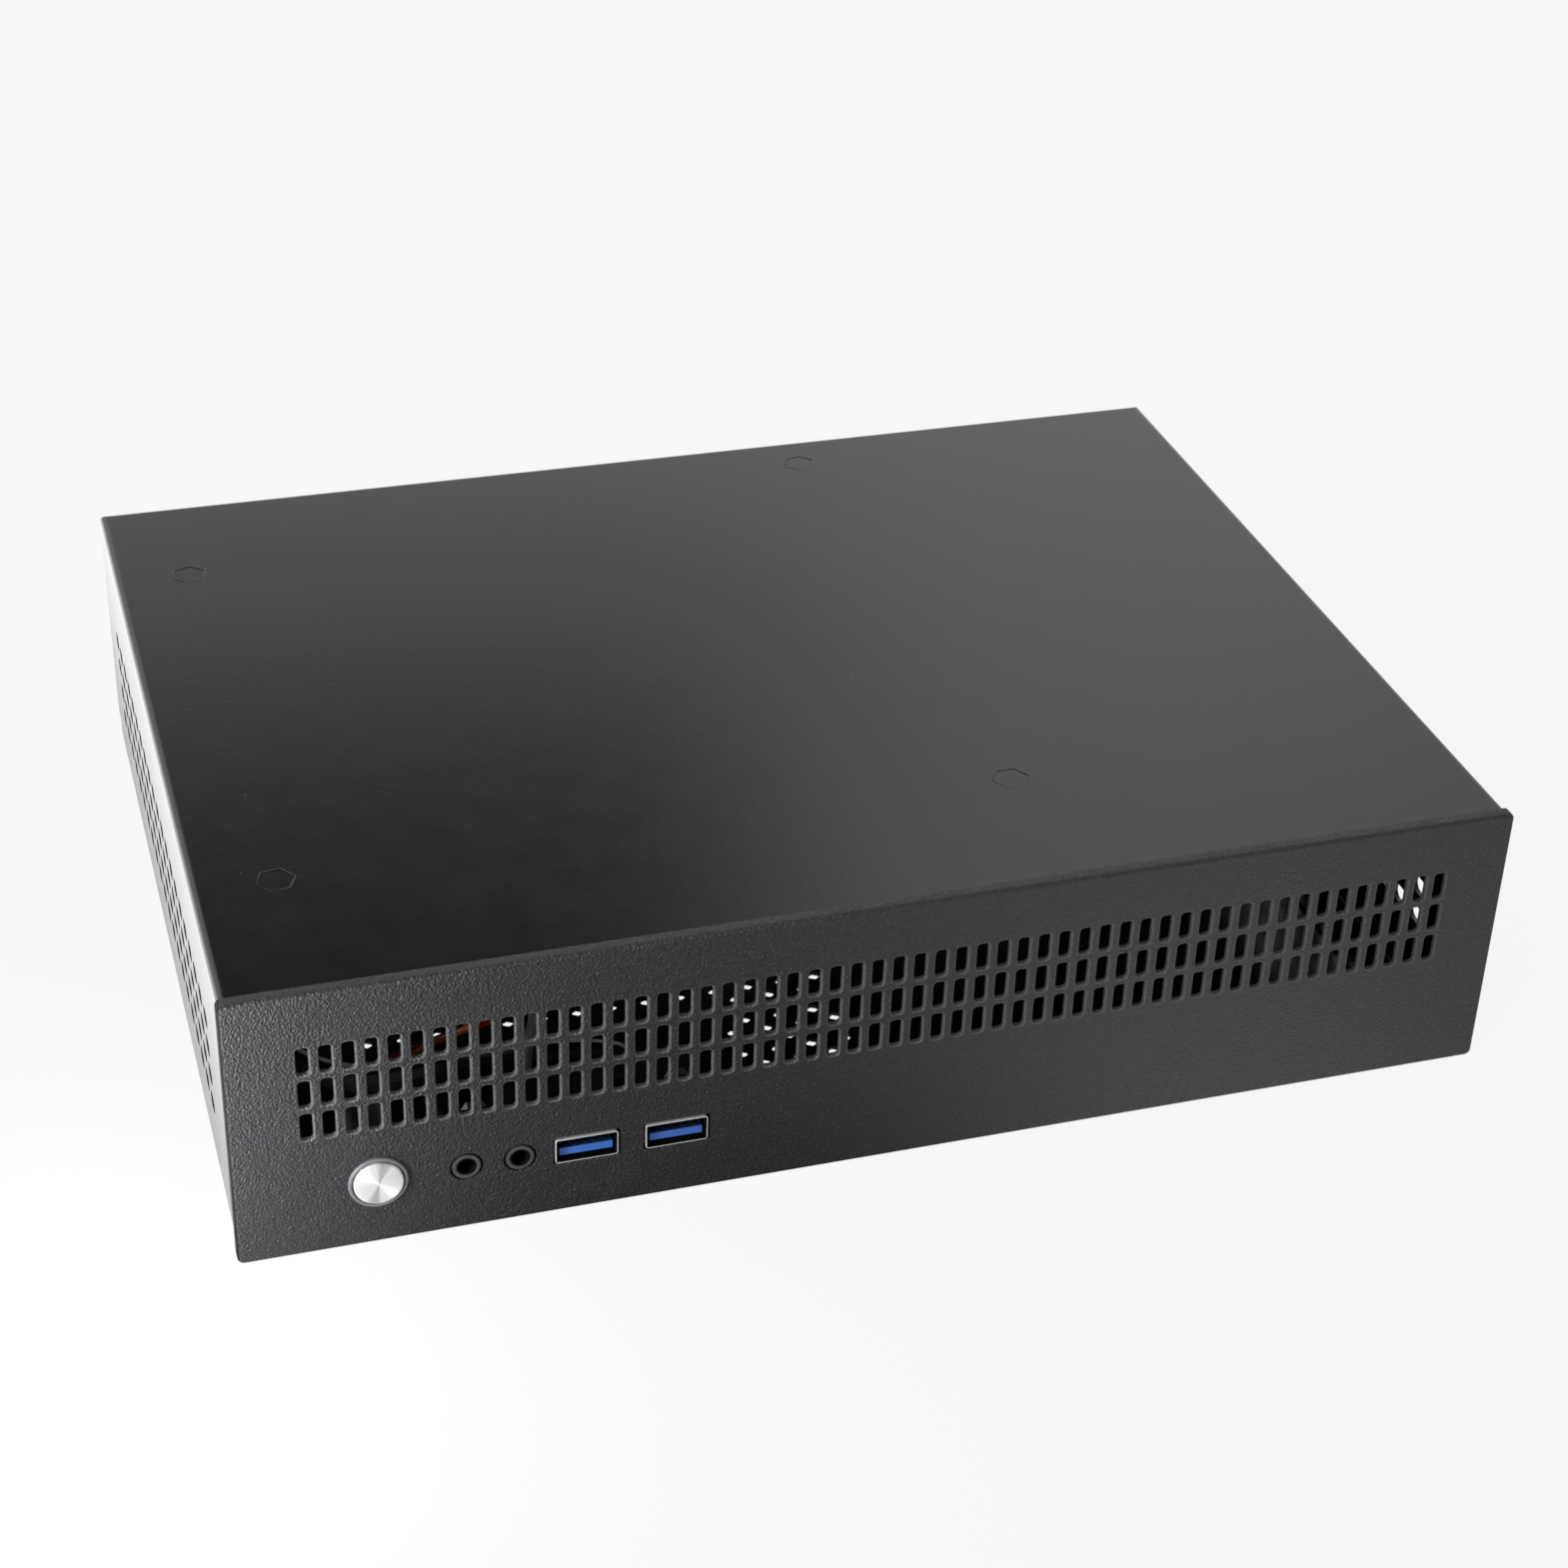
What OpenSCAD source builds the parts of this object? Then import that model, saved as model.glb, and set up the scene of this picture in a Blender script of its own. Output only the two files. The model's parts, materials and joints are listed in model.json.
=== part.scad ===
// Small computer case for a 170 mm square board, lying with its board plate upwards.
// X runs left to right along the front panel, Y runs from the front panel to the rear, Z is up.
// The origin is the middle of the case's footprint, on the surface that the case lies on.
// Places marked "from the left" start at the front panel's left edge, and depths start at its face.

/* [Case] */
// Width of the front panel
case_w = 274; // [260:1:320]
// Depth from the front panel's face to the rear wall's outer face
case_d = 208; // [206:1:260]
// Height of the front panel
case_h = 64; // [60:0.5:80]
// Step from the front panel's outline in to the body behind it
body_inset = 0.4; // [0.1:0.1:0.8]
// Gap between the front panel's rim and the body behind it
seam_gap = 0.3; // [0.2:0.1:1]

/* [Sheet metal] */
// Thickness of the front panel's sheet
panel_t = 1.2; // [1:0.1:1.4]
// Depth of the front panel's folded rim, face included
panel_rim = 2.9; // [2.6:0.1:5]
// Radius of the front panel's four outline corners
panel_corner_r = 1.5; // [0.5:0.1:3]
// Radius of the front panel's fold from face to rim
panel_fold_r = 0.8; // [0.3:0.1:1]
// Thickness of the chassis sheet
chassis_t = 1; // [0.8:0.1:1.2]
// Outer radius of the chassis folds
chassis_fold_r = 2; // [1:0.1:3]
// Thickness of the cover sheet
cover_t = 0.8; // [0.7:0.05:1]
// Height of the cover's side flanges
cover_flange_h = 7.5; // [6:0.1:9]
// Outer radius of the cover's folds
cover_fold_r = 1.5; // [1:0.1:2]
// Gap between the cover's flange and the chassis side above it
cover_seam = 0.5; // [0.3:0.1:1]
// Width of the chassis flanges that the cover is screwed to
screw_flange_w = 11; // [9:0.5:14]
// Clearance between sheets that slide past each other
sheet_gap = 0.15; // [0.1:0.05:0.2]

/* [Front slots] */
// Width of one slot
slot_w = 2.6; // [2:0.1:3.4]
// Height of one slot
slot_h = 6.5; // [4:0.1:7]
// Corner radius of one slot
slot_r = 0.8; // [0.5:0.1:0.9]
// Distance from one column of slots to the next
slot_pitch = 4.5; // [4:0.1:6]
// Distance from one row of slots to the next
row_pitch = 8; // [7.5:0.1:9]
// Number of rows of slots
slot_rows = 3; // [1:1:3]
// Height of the middle of the lowest row
row_low_z = 32; // [30:0.1:34]
// Least plain width left at each end of the rows
slot_margin = 13.8; // [12:0.1:30]

/* [Side vents] */
// Length of one side vent
vent_l = 5.6; // [4.5:0.1:6.5]
// Height of one side vent
vent_h = 4; // [2:0.1:4.4]
// Distance between vents along the case
vent_pitch_y = 7.8; // [7:0.1:10]
// Distance between rows of vents
vent_pitch_z = 7.2; // [5:0.1:7.4]
// Number of rows of vents
vent_rows = 4; // [2:1:4]
// Height of the lowest row of vents
vent_low_z = 18.5; // [15:0.5:20]
// Depth of the first vent behind the front panel's face
vent_front = 30; // [25:0.5:40]
// Plain length left behind the last vent
vent_rear_margin = 20; // [12:0.5:40]

/* [Cover perforation] */
// Width across flats of one hexagonal hole
perf_af = 2.4; // [1.8:0.1:4]
// Distance between neighbouring holes, along the diagonals
perf_pitch = 5.6; // [5.2:0.1:7]
// Left edge of the field, from the left
perf_x = 33.4; // [25:0.2:60]
// Front edge of the field, as a depth
perf_front = 62.2; // [58:0.2:80]
// Width of the field
perf_w = 111; // [40:1:120]
// Depth of the field
perf_l = 87; // [40:1:100]
// Distance from the field's left edge to the part that reaches further forward
perf_fore_x = 79.2; // [20:0.2:90]
// Width of the part that reaches further forward
perf_fore_w = 31.8; // [10:0.2:40]
// How far that part reaches in front of the field
perf_fore_l = 27.8; // [10:0.2:30]

/* [Board] */
// Side of the square board that the case is for
board_side = 170; // [170:0.1:171]
// Left edge of the board, from the left
board_left = 11.1; // [11:0.1:20]
// Gap between the board's rear edge and the rear wall's inner face
board_rear_gap = 1.6; // [1:0.1:3]
// Distance between the left and right board holes
hole_span_x = 157.48; // [157.2:0.01:157.7]
// Distance between the front and rear holes on the left
hole_span_left = 132.08; // [131.8:0.01:132.4]
// Distance between the front and rear holes on the right
hole_span_right = 154.94; // [154.7:0.01:155.2]
// Distance from the board's left edge to its left holes
hole_side = 6.35; // [6:0.01:7]
// Distance from the board's rear edge to its rear right hole
hole_rear = 10.16; // [10:0.01:10.4]
// Length of the standoffs under the plate
standoff_h = 6.35; // [5:0.05:8]
// Diameter of the standoffs
standoff_d = 5.6; // [5:0.1:6.4]
// Diameter of the threaded hole in each standoff
standoff_bore = 2.5; // [2.4:0.05:3.2]
// Width across flats of the standoffs' heads
head_af = 7; // [6.6:0.1:8]
// Clearance around each head in the plate
head_gap = 0.05; // [0.03:0.01:0.15]
// How far each head lies below the plate's outer face
head_sink = 0.08; // [0:0.01:0.3]

/* [Rear wall] */
// Width of the opening for the board's sockets
io_w = 158.75; // [150:0.25:159]
// Height of the opening for the board's sockets
io_h = 44.45; // [40:0.05:44.8]
// Distance from the plate's inner face to the socket opening
io_drop = 4.1; // [3:0.1:6]
// Width of the power supply that the case is for
supply_w = 81.5; // [80:0.5:83]
// Height of the power supply that the case is for
supply_h = 40.5; // [38:0.5:42]
// Width of the opening for the power supply's socket
supply_open_w = 65; // [50:0.5:66]
// Height of the opening for the power supply's socket
supply_open_h = 34; // [28:0.5:35]
// Distance between the power supply's screw holes, side to side
supply_span_x = 73; // [72:0.5:75]
// Distance between the power supply's screw holes, top to bottom
supply_span_z = 31; // [28:0.5:33]
// Diameter of the power supply's screw holes
supply_hole = 3.6; // [3.2:0.1:4]

/* [Power button] */
// Middle of the button, from the left
button_x = 28.9; // [26:0.1:31]
// Height of the middle of the button
button_z = 15.6; // [15.2:0.1:17]
// Diameter of the moving cap
cap_d = 10.15; // [9:0.05:10.4]
// How far the cap stands out of the panel's face
cap_proud = 1; // [0.7:0.1:1.4]
// Thickness of the cap
cap_t = 2.6; // [2:0.1:2.8]
// Diameter of the cap's stem
stem_d = 5.8; // [4:0.1:7]
// Length of the cap's stem
stem_l = 7.4; // [6:0.1:8]
// How far the button travels
button_travel = 1.2; // [0.8:0.1:1.4]
// Outer diameter of the light ring
ring_d = 12.2; // [12:0.1:13]
// How far the light ring stands out of the panel's face
ring_proud = 0.6; // [0.4:0.1:0.7]
// Outer diameter of the switch barrel
barrel_d = 11.4; // [11.2:0.1:11.6]
// Length of the switch barrel
barrel_l = 20; // [19:0.5:21]
// Running clearance around the cap and its stem
button_gap = 0.175; // [0.1:0.025:0.2]
// Wire diameter of the return spring
spring_wire = 0.5; // [0.3:0.05:0.6]
// Number of turns of the return spring
spring_turns = 4; // [3:1:5]

/* [Front sockets] */
// Middle of the left audio socket, from the left
jack_left_x = 46.8; // [46:0.1:47.4]
// Middle of the right audio socket, from the left
jack_right_x = 57.8; // [57.2:0.1:58.4]
// Middle of the left data socket, from the left
usb_left_x = 71.6; // [71.2:0.1:72]
// Middle of the right data socket, from the left
usb_right_x = 90.5; // [90:0.1:91]
// Height of the middle of the sockets
socket_z = 15.6; // [15:0.1:16.5]
// Diameter of an audio socket's nose
nose_d = 5.9; // [5.4:0.1:6.2]
// Diameter of an audio socket's bore
jack_bore = 3.6; // [3.5:0.05:3.8]
// Length of an audio socket's bore
jack_bore_l = 12.5; // [11:0.5:13]
// Width of an audio socket's body
jack_body_w = 6.2; // [6.2:0.1:6.8]
// Depth of an audio socket behind the panel's face
jack_l = 14; // [13.5:0.5:15]
// Outer width of a data socket's shell
usb_w = 13.1; // [12.8:0.05:13.3]
// Outer height of a data socket's shell
usb_h = 5.9; // [5.6:0.05:6]
// Depth of a data socket's shell behind the panel's face
usb_l = 14; // [13:0.5:15]
// Wall of a data socket's shell
usb_wall = 0.35; // [0.25:0.05:0.4]
// How far a data socket's shell stands out of the panel's face
usb_proud = 0.15; // [0:0.05:0.3]
// Clearance around the sockets in the front panel
cutout_gap = 0.4; // [0.2:0.05:0.5]
// Width of the tongue
tongue_w = 11.1; // [10.5:0.1:11.5]
// Thickness of the tongue
tongue_t = 1.8; // [1.6:0.1:2]
// Height of the tongue above the shell's inner floor
tongue_rise = 0.9; // [0.7:0.05:1.1]
// How far the tongue's tip lies behind the shell's mouth
tongue_back = 0.9; // [0.5:0.1:1.5]

/* [Socket board] */
// Thickness of the socket board
pcb_t = 1.6; // [1.2:0.1:1.8]
// Left edge of the socket board, from the left
pcb_left = 42; // [41:0.5:43]
// Width of the socket board
pcb_w = 57; // [56:0.5:60]
// Rear edge of the socket board, as a depth
pcb_rear = 19; // [18:0.5:20]
// Height of the bracket's shelf above the socket board
boss_h = 1.5; // [1:0.1:1.6]
// Thickness of the bracket
bracket_t = 1; // [0.8:0.1:1.1]
// Height of the bracket's upright tab above its shelf's underside
tab_h = 6.75; // [6.5:0.05:7]

/* [Fasteners] */
// Diameter of the panel studs and the cover screws
stud_d = 3; // [2.8:0.1:3]
// Clearance around a stud or screw in its hole, measured on the radius
hole_gap = 0.1; // [0.05:0.05:0.2]
// Width across flats of the nuts on the studs
nut_af = 5.5; // [5:0.1:5.5]
// Thickness of the nuts on the studs
nut_t = 2.4; // [2:0.1:2.6]
// Diameter of the cover screws' heads
cover_head_d = 4.4; // [4:0.1:4.6]
// Length of the cover screws
cover_screw_l = 5; // [4:0.5:7]
// Diameter of the socket board's screws
board_screw_d = 2.5; // [2:0.1:2.5]
// Diameter of the socket board's screw heads
board_head_d = 4.4; // [4:0.1:4.6]

/* [Loom] */
// Diameter of the data cable
usb_cable_d = 6; // [5:0.1:6.2]
// Diameter of the audio cable
audio_cable_d = 3; // [2.4:0.1:3]
// Diameter of one button lead
lead_d = 1.2; // [0.9:0.05:1.2]
// Wall of the clips that hold the loom
clip_t = 0.8; // [0.6:0.1:0.9]

/* [Hidden] */
$fn = 48;
eps = 0.5;

// The case is centred between the button's face and the rear wall.
face_y = -(case_d - cap_proud) / 2;
function px(x) = x - case_w / 2;
function py(d) = face_y + d;

// Sheet faces
flange_step = 0.25;
wall_gap = 0.2;
lip_gap = 2;
body_front = panel_rim + seam_gap;
body_half_w = case_w / 2 - body_inset;
wall_in = body_half_w - chassis_t;
plate_top = case_h - body_inset;
plate_in = plate_top - chassis_t;
side_low = cover_flange_h + cover_seam;
cover_half_w = body_half_w - flange_step;
leg_out = cover_half_w - cover_t - sheet_gap;
leg_in = leg_out - chassis_t;
leg_fold_r = chassis_t + 0.2;
rear_in = case_d - chassis_t;
frame_half_w = min(wall_in, case_w / 2 - panel_t - wall_gap);
frame_low = panel_t + wall_gap;
frame_t = 1;
frame_side_w = 9;
frame_bottom_h = 5.6;
frame_top_h = 7.6;
frame_lip = 10;

// Slots and vents
slot_cols = floor((case_w - 2 * slot_margin - slot_w) / slot_pitch) + 1;
vent_cols = floor((case_d - vent_rear_margin - vent_front) / vent_pitch_y) + 1;

// Board holes: left front, left rear, right front, right rear
board_rear = rear_in - board_rear_gap;
hole_front = board_rear - hole_rear - hole_span_right;
hole_left_x = board_left + hole_side;
HOLES = [[hole_left_x, hole_front], [hole_left_x, hole_front + hole_span_left],
    [hole_left_x + hole_span_x, hole_front], [hole_left_x + hole_span_x, hole_front + hole_span_right]];
HEAD_TURNS = [8, 22, 3, 17];
head_t = chassis_t - head_sink;
bore_floor = 0.3;

// Rear openings
io_left = board_left + (board_side - io_w) / 2;
supply_mid_x = (board_left + board_side + case_w - body_inset - chassis_t) / 2;
supply_gap = 0.5;
supply_mid_z = plate_in - supply_gap - supply_h / 2;

// Half the distance between two holes of one row of the perforation
perf_half = perf_pitch / sqrt(2);

// Fasteners
screw_x = leg_in - screw_flange_w / 2;
screw_front = 22;
screw_rear_in = 19;
screw_rear = case_d - screw_rear_in;
rear_screw_x = 60;
rear_flange_half_w = leg_in - screw_flange_w - 2;
side_screws = [for (s = [-1, 1], d = [screw_front, case_d / 2, screw_rear]) [s * screw_x, d]];
rear_screws = [for (s = [-1, 1]) [s * rear_screw_x, rear_in - screw_flange_w / 2]];
COVER_SCREWS = concat(side_screws, rear_screws);
screw_slot_w = 0.5;
screw_slot_l = 2.2;
screw_slot_depth = 0.5;
cover_head_t = (cover_head_d - stud_d) / 2;
thread_gap = 0.02;
stud_in = 6.1;
stud_low_z = 12;
stud_drop = 5.1;
stud_x = frame_half_w - stud_in;
STUDS = [for (s = [-1, 1], z = [stud_low_z, plate_in - stud_drop]) [s * stud_x, z]];
pcb_low = socket_z + usb_h / 2;
pcb_top = pcb_low + pcb_t;
shelf_low = pcb_top + boss_h;
tab_top = shelf_low + tab_h;
tab_stud_z = tab_top - nut_af / 2 - 0.05;
tab_stud_in = 7.5;
TAB_STUDS = [for (x = [pcb_left + tab_stud_in, pcb_left + pcb_w - tab_stud_in]) [px(x), tab_stud_z]];
stud_spare = 1.6;
stud_l = frame_t + nut_t + stud_spare;
bracket_inset = 2;
shelf_rear = pcb_rear - bracket_inset;
board_screw_y = 12;
BOARD_SCREWS = [for (x = [jack_left_x + jack_right_x, usb_left_x + usb_right_x]) [x / 2, board_screw_y]];
boss_d = 5;
board_head_t = 1.5;

// Spring windows in the lower wall of a data socket's shell
window_x = 3;
window_w = 1.6;
window_front = 3;
window_l = 5;

// Contacts on the tongues of the data sockets, from the tongue's tip and across its middle
contact_back = 0.8;
contact_t = 0.12;
contact_end = 4.6;
LONG_CONTACTS = [-3.5, -1, 1, 3.5];
long_contact_w = 1;
long_contact_back = 1.6;
SHORT_CONTACTS = [-4, -2, 0, 2, 4];
short_contact_w = 0.7;
short_contact_l = 1.2;

// Button
barrel_r = barrel_d / 2;
cap_r = cap_d / 2;
cap_bore_r = cap_r + button_gap;
cap_floor = cap_t - cap_proud + button_travel + 1.4;
stem_end = cap_t - cap_proud + stem_l;
spring_gap = 0.1;
spring_room = 6;
PINS = [-2, 2];
pin_l = 2.5;
pair = 0.65;
pin_end = barrel_l + pin_l;
pin_w = 0.6;
pin_t = 0.5;
switch_nut_af = 14;
switch_nut_t = 2.5;

// Routes of the leads: each point is from the left, the depth and the height, which
// is taken from the plate's inner face along the left wall.
usb_run_drop = 15.1;
audio_run_drop = 6.4;
power_run_drop = 2.6;
led_run_drop = 2.5;
usb_run_z = plate_in - usb_run_drop;
audio_run_z = plate_in - audio_run_drop;
power_run_z = plate_in - power_run_drop;
led_run_z = plate_in - led_run_drop;
// How far each lead's points still lie below its run, where it climbs the wall
USB_RISE = [12, 8, 4, 1];
AUDIO_RISE = [9.5, 6.2, 3.2, 0.6];
POWER_RISE = [7.5, 5.5, 3, 0.6];
LED_RISE = [12, 9, 5.6, 2.4, 0.4];
usb_run_x = 5.8;
power_run_x = 3.9;
led_run_x = 6.8;
plug_depth = 84;
USB_ROUTE = [[88, 20, 14], [88, 25, 14], [85, 30, 14], [78, 32, 14.5], [70, 32, 15.5], [62, 30, 18],
    [54, 24, 23], [47, 18, 28], [40, 13.5, 31], [32, 12, 32], [24, 13, 33],
    [15, 18, usb_run_z - USB_RISE[0]], [8.5, 27, usb_run_z - USB_RISE[1]],
    [usb_run_x, 38, usb_run_z - USB_RISE[2]], [usb_run_x, 50, usb_run_z - USB_RISE[3]],
    [usb_run_x, 62, usb_run_z], [usb_run_x, 73, usb_run_z], [usb_run_x, plug_depth, usb_run_z]];
AUDIO_ROUTE = [[64, 19.5, 15.5], [64, 23, 16.6], [65, 26, 22], [67, 25.8, 30], [66, 24.3, 35.5],
    [61, 22.6, 40.5], [51, 20.6, 43], [38, 19.6, 44], [26, 19.3, 44.7],
    [16, 22, audio_run_z - AUDIO_RISE[0]], [9, 30, audio_run_z - AUDIO_RISE[1]],
    [usb_run_x, 40, audio_run_z - AUDIO_RISE[2]], [usb_run_x, 52, audio_run_z - AUDIO_RISE[3]],
    [usb_run_x, 64, audio_run_z], [usb_run_x, 82, audio_run_z], [usb_run_x, 100, audio_run_z],
    [usb_run_x, 118, audio_run_z]];
POWER_ROUTE = [[26.9, 22.5, 15.6], [27, 27, 15.8], [31, 31, 18], [39, 31, 22], [48, 28.5, 27],
    [55, 24.5, 32], [57, 20, 37], [54, 16.5, 43], [47, 15, 47], [38, 14.5, 48.5], [28, 14.5, 49.5],
    [19, 16, 50.5], [11, 19, power_run_z - POWER_RISE[0]], [5.4, 27, power_run_z - POWER_RISE[1]],
    [power_run_x, 38, power_run_z - POWER_RISE[2]], [power_run_x, 50, power_run_z - POWER_RISE[3]],
    [power_run_x, 62, power_run_z], [power_run_x, plug_depth, power_run_z]];
LED_ROUTE = [[30.9, 22.5, 15.6], [31.5, 25.5, 17], [37, 27, 22], [45, 26, 27.5], [51, 22.5, 32.5],
    [52.5, 18, 37], [49, 14, 42], [42, 12, 44.5], [33, 11, 45.5], [24, 11.5, 46.5],
    [15.5, 14.5, led_run_z - LED_RISE[0]], [11, 23, led_run_z - LED_RISE[1]],
    [9.6, 32, led_run_z - LED_RISE[2]],
    [8.8, 41, led_run_z - LED_RISE[3]], [7.2, 51, led_run_z - LED_RISE[4]], [led_run_x, 62, led_run_z],
    [led_run_x, plug_depth, led_run_z]];

// Loom clips and plugs
CLIP_DEPTHS = [65, 103];
clip_l = 8;
clip_drop = 19.6;
clip_low = plate_in - clip_drop;
clip_gap = 0.2;
clip_high = plate_in - clip_gap;
clip_base_t = 1;
clip_reach = 7.8;
usb_plug_box = [8, 16, 16.4];
usb_plug_drop = 9.4;
audio_plug_box = [5.1, 14, 12.4];
lead_plug_box = [2.5, 14, 4.7];
block_l = 3.8;
usb_block_half_w = 6;
usb_block_drop = 4.2;
audio_block_half_w = 3;
audio_block_drop = 2.4;

// A point list along a smooth curve through the given points
function blend_point(a, b, c, d, t) = 0.5 * ((2 * b) + (c - a) * t
    + (2 * a - 5 * b + 4 * c - d) * t * t + (3 * b - a - 3 * c + d) * t * t * t);
function smooth_path(p, n) = concat([for (i = [0:len(p) - 2], k = [0:n - 1])
    blend_point(p[max(i - 1, 0)], p[i], p[i + 1], p[min(i + 2, len(p) - 1)], k / n)],
    [p[len(p) - 1]]);
function unit(v) = v / norm(v);
function tangents(p) = [for (i = [0:len(p) - 1]) unit(p[min(i + 1, len(p) - 1)] - p[max(i - 1, 0)])];
function square_to(v, t) = unit(v - (v * t) * t);
function side_vectors(t, first) = [for (i = 0, n = square_to(first, t[0]); i < len(t);
    i = i + 1, n = i < len(t) ? square_to(n, t[i]) : n) n];
function in_case(p) = [for (q = p) [px(q[0]), py(q[1]), q[2]]];
// Tangents of a lead whose two ends are cut square to Y
function lead_tangents(p) = let (t = tangents(p), last = len(p) - 1)
    [for (i = [0:last]) i == 0 || i == last ? [0, 1, 0] : t[i]];

// A round lead swept along a list of points, with its tangents
module lead(p, t, d, sides) {
    n = side_vectors(t, [0, 0, 1]);
    last = len(p) - 1;
    rings = [for (i = [0:last], k = [0:sides - 1]) let (a = 360 * k / sides)
        p[i] + d / 2 * (cos(a) * n[i] + sin(a) * cross(t[i], n[i]))];
    walls = [for (i = [0:last - 1], k = [0:sides - 1]) let (m = (k + 1) % sides)
        [i * sides + k, i * sides + m, (i + 1) * sides + m, (i + 1) * sides + k]];
    start = [for (k = [0:sides - 1]) sides - 1 - k];
    end = [for (k = [0:sides - 1]) last * sides + k];
    polyhedron(rings, concat([start], walls, [end]), convexity = 10);
}

// An outline drawn in X and Z, extruded from one depth to another
module along_y(from, to) {
    translate([0, py(to), 0]) rotate([90, 0, 0]) linear_extrude(to - from, convexity = 10) children();
}

// An outline drawn in Y and Z, extruded to both sides of the middle
module along_x(half) {
    rotate([90, 0, 90]) translate([0, 0, -half]) linear_extrude(2 * half, convexity = 10) children();
}

// A rectangle with round corners, drawn about its middle
module round_rect(w, h, r) {
    square([w - 2 * r, h], center = true);
    square([w, h - 2 * r], center = true);
    for (sx = [-1, 1], sz = [-1, 1]) translate([sx * (w / 2 - r), sz * (h / 2 - r)]) circle(r, $fn = 24);
}

// A box given by its lowest and highest corners: from the left, depth and height
module block(low, high) {
    translate([px(low[0]), py(low[1]), low[2]]) cube(high - low);
}

// A hexagon given by its width across flats, with flats above and below
module hexagon(af) {
    circle(af / sqrt(3), $fn = 6);
}

// A round bar along Y, between two depths
module bar(x, z, r, from, to) {
    translate([x, py(from), z]) rotate([-90, 0, 0]) cylinder(r = r, h = to - from);
}

module board_hole_places() {
    for (i = [0:3]) translate([px(HOLES[i][0]), py(HOLES[i][1]), 0]) rotate([0, 0, HEAD_TURNS[i]]) children();
}

module vent_outline() {
    for (c = [0:vent_cols - 1], r = [0:vent_rows - 1])
        translate([py(vent_front) + c * vent_pitch_y, vent_low_z + r * vent_pitch_z]) {
            square([vent_l - vent_h, vent_h], center = true);
            for (s = [-1, 1]) translate([s * (vent_l - vent_h) / 2, 0]) circle(vent_h / 2, $fn = 24);
        }
}

// A quarter turn of folded sheet about its own centre, from +X to +Z
module fold_profile(r, t) {
    intersection() {
        difference() {
            circle(r, $fn = 32);
            circle(max(r - t, 0.01), $fn = 32);
        }
        square(r);
    }
}

// The chassis seen from the front: plate, sides, and a step in above the cover's flanges
module chassis_profile() {
    flat_half = body_half_w - chassis_fold_r;
    translate([-flat_half, plate_in]) square([2 * flat_half, chassis_t]);
    for (s = [0, 1]) mirror([s, 0]) {
        translate([wall_in, side_low]) square([chassis_t, plate_top - chassis_fold_r - side_low]);
        translate([leg_in, side_low]) square([body_half_w - leg_in, chassis_t]);
        translate([leg_in, cover_t + leg_fold_r])
            square([chassis_t, side_low + chassis_t - cover_t - leg_fold_r]);
        translate([leg_out - screw_flange_w, cover_t]) square([screw_flange_w - leg_fold_r, chassis_t]);
        translate([body_half_w - chassis_fold_r, plate_top - chassis_fold_r])
            fold_profile(chassis_fold_r, chassis_t);
        translate([leg_out - leg_fold_r, cover_t + leg_fold_r]) mirror([0, 1])
            fold_profile(leg_fold_r, chassis_t);
    }
}

// The rear wall seen from the rear, with its openings
module rear_wall_profile() {
    difference() {
        union() {
            translate([-wall_in, side_low]) square([2 * wall_in, plate_top - chassis_t / 2 - side_low]);
            translate([-leg_in, cover_t]) square([2 * leg_in, side_low + chassis_t - cover_t]);
        }
        translate([px(io_left), plate_in - io_drop - io_h]) square([io_w, io_h]);
        translate([px(supply_mid_x), supply_mid_z]) {
            square([supply_open_w, supply_open_h], center = true);
            for (sx = [-1, 1], sz = [-1, 1]) translate([sx * supply_span_x / 2, sz * supply_span_z / 2])
                circle(supply_hole / 2, $fn = 32);
        }
    }
}

module chassis() {
    color("#2a2a2b") difference() {
        intersection() {
            union() {
                along_y(body_front, case_d) chassis_profile();
                along_y(rear_in, case_d) rear_wall_profile();
                translate([-rear_flange_half_w, py(rear_in - screw_flange_w), cover_t])
                    cube([2 * rear_flange_half_w, screw_flange_w + chassis_t, chassis_t]);
            }
            along_x(case_w / 2) {
                translate([py(0), 0]) square([case_d - chassis_fold_r, case_h]);
                translate([py(0), 0]) square([case_d, plate_top - chassis_fold_r]);
                translate([py(case_d - chassis_fold_r), plate_top - chassis_fold_r])
                    circle(chassis_fold_r, $fn = 32);
            }
        }
        along_x(case_w) vent_outline();
        board_hole_places() translate([0, 0, plate_in - eps])
            linear_extrude(chassis_t + 2 * eps) hexagon(head_af + 2 * head_gap);
        for (p = COVER_SCREWS) translate([p[0], py(p[1]), cover_t - eps])
            cylinder(d = stud_d + 2 * hole_gap, h = chassis_t + 2 * eps);
    }
}

// Holes of one diagonal lattice, from a first column and row of the field
module perforation(column, columns, row, rows) {
    for (r = [row:row + rows - 1], c = [column:column + columns - 1 - abs(r % 2)])
        translate([px(perf_x) + (2 * c + 1 + abs(r % 2)) * perf_half, py(perf_front) + (r + 0.5) * perf_half])
            rotate(30) hexagon(perf_af);
}

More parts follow.
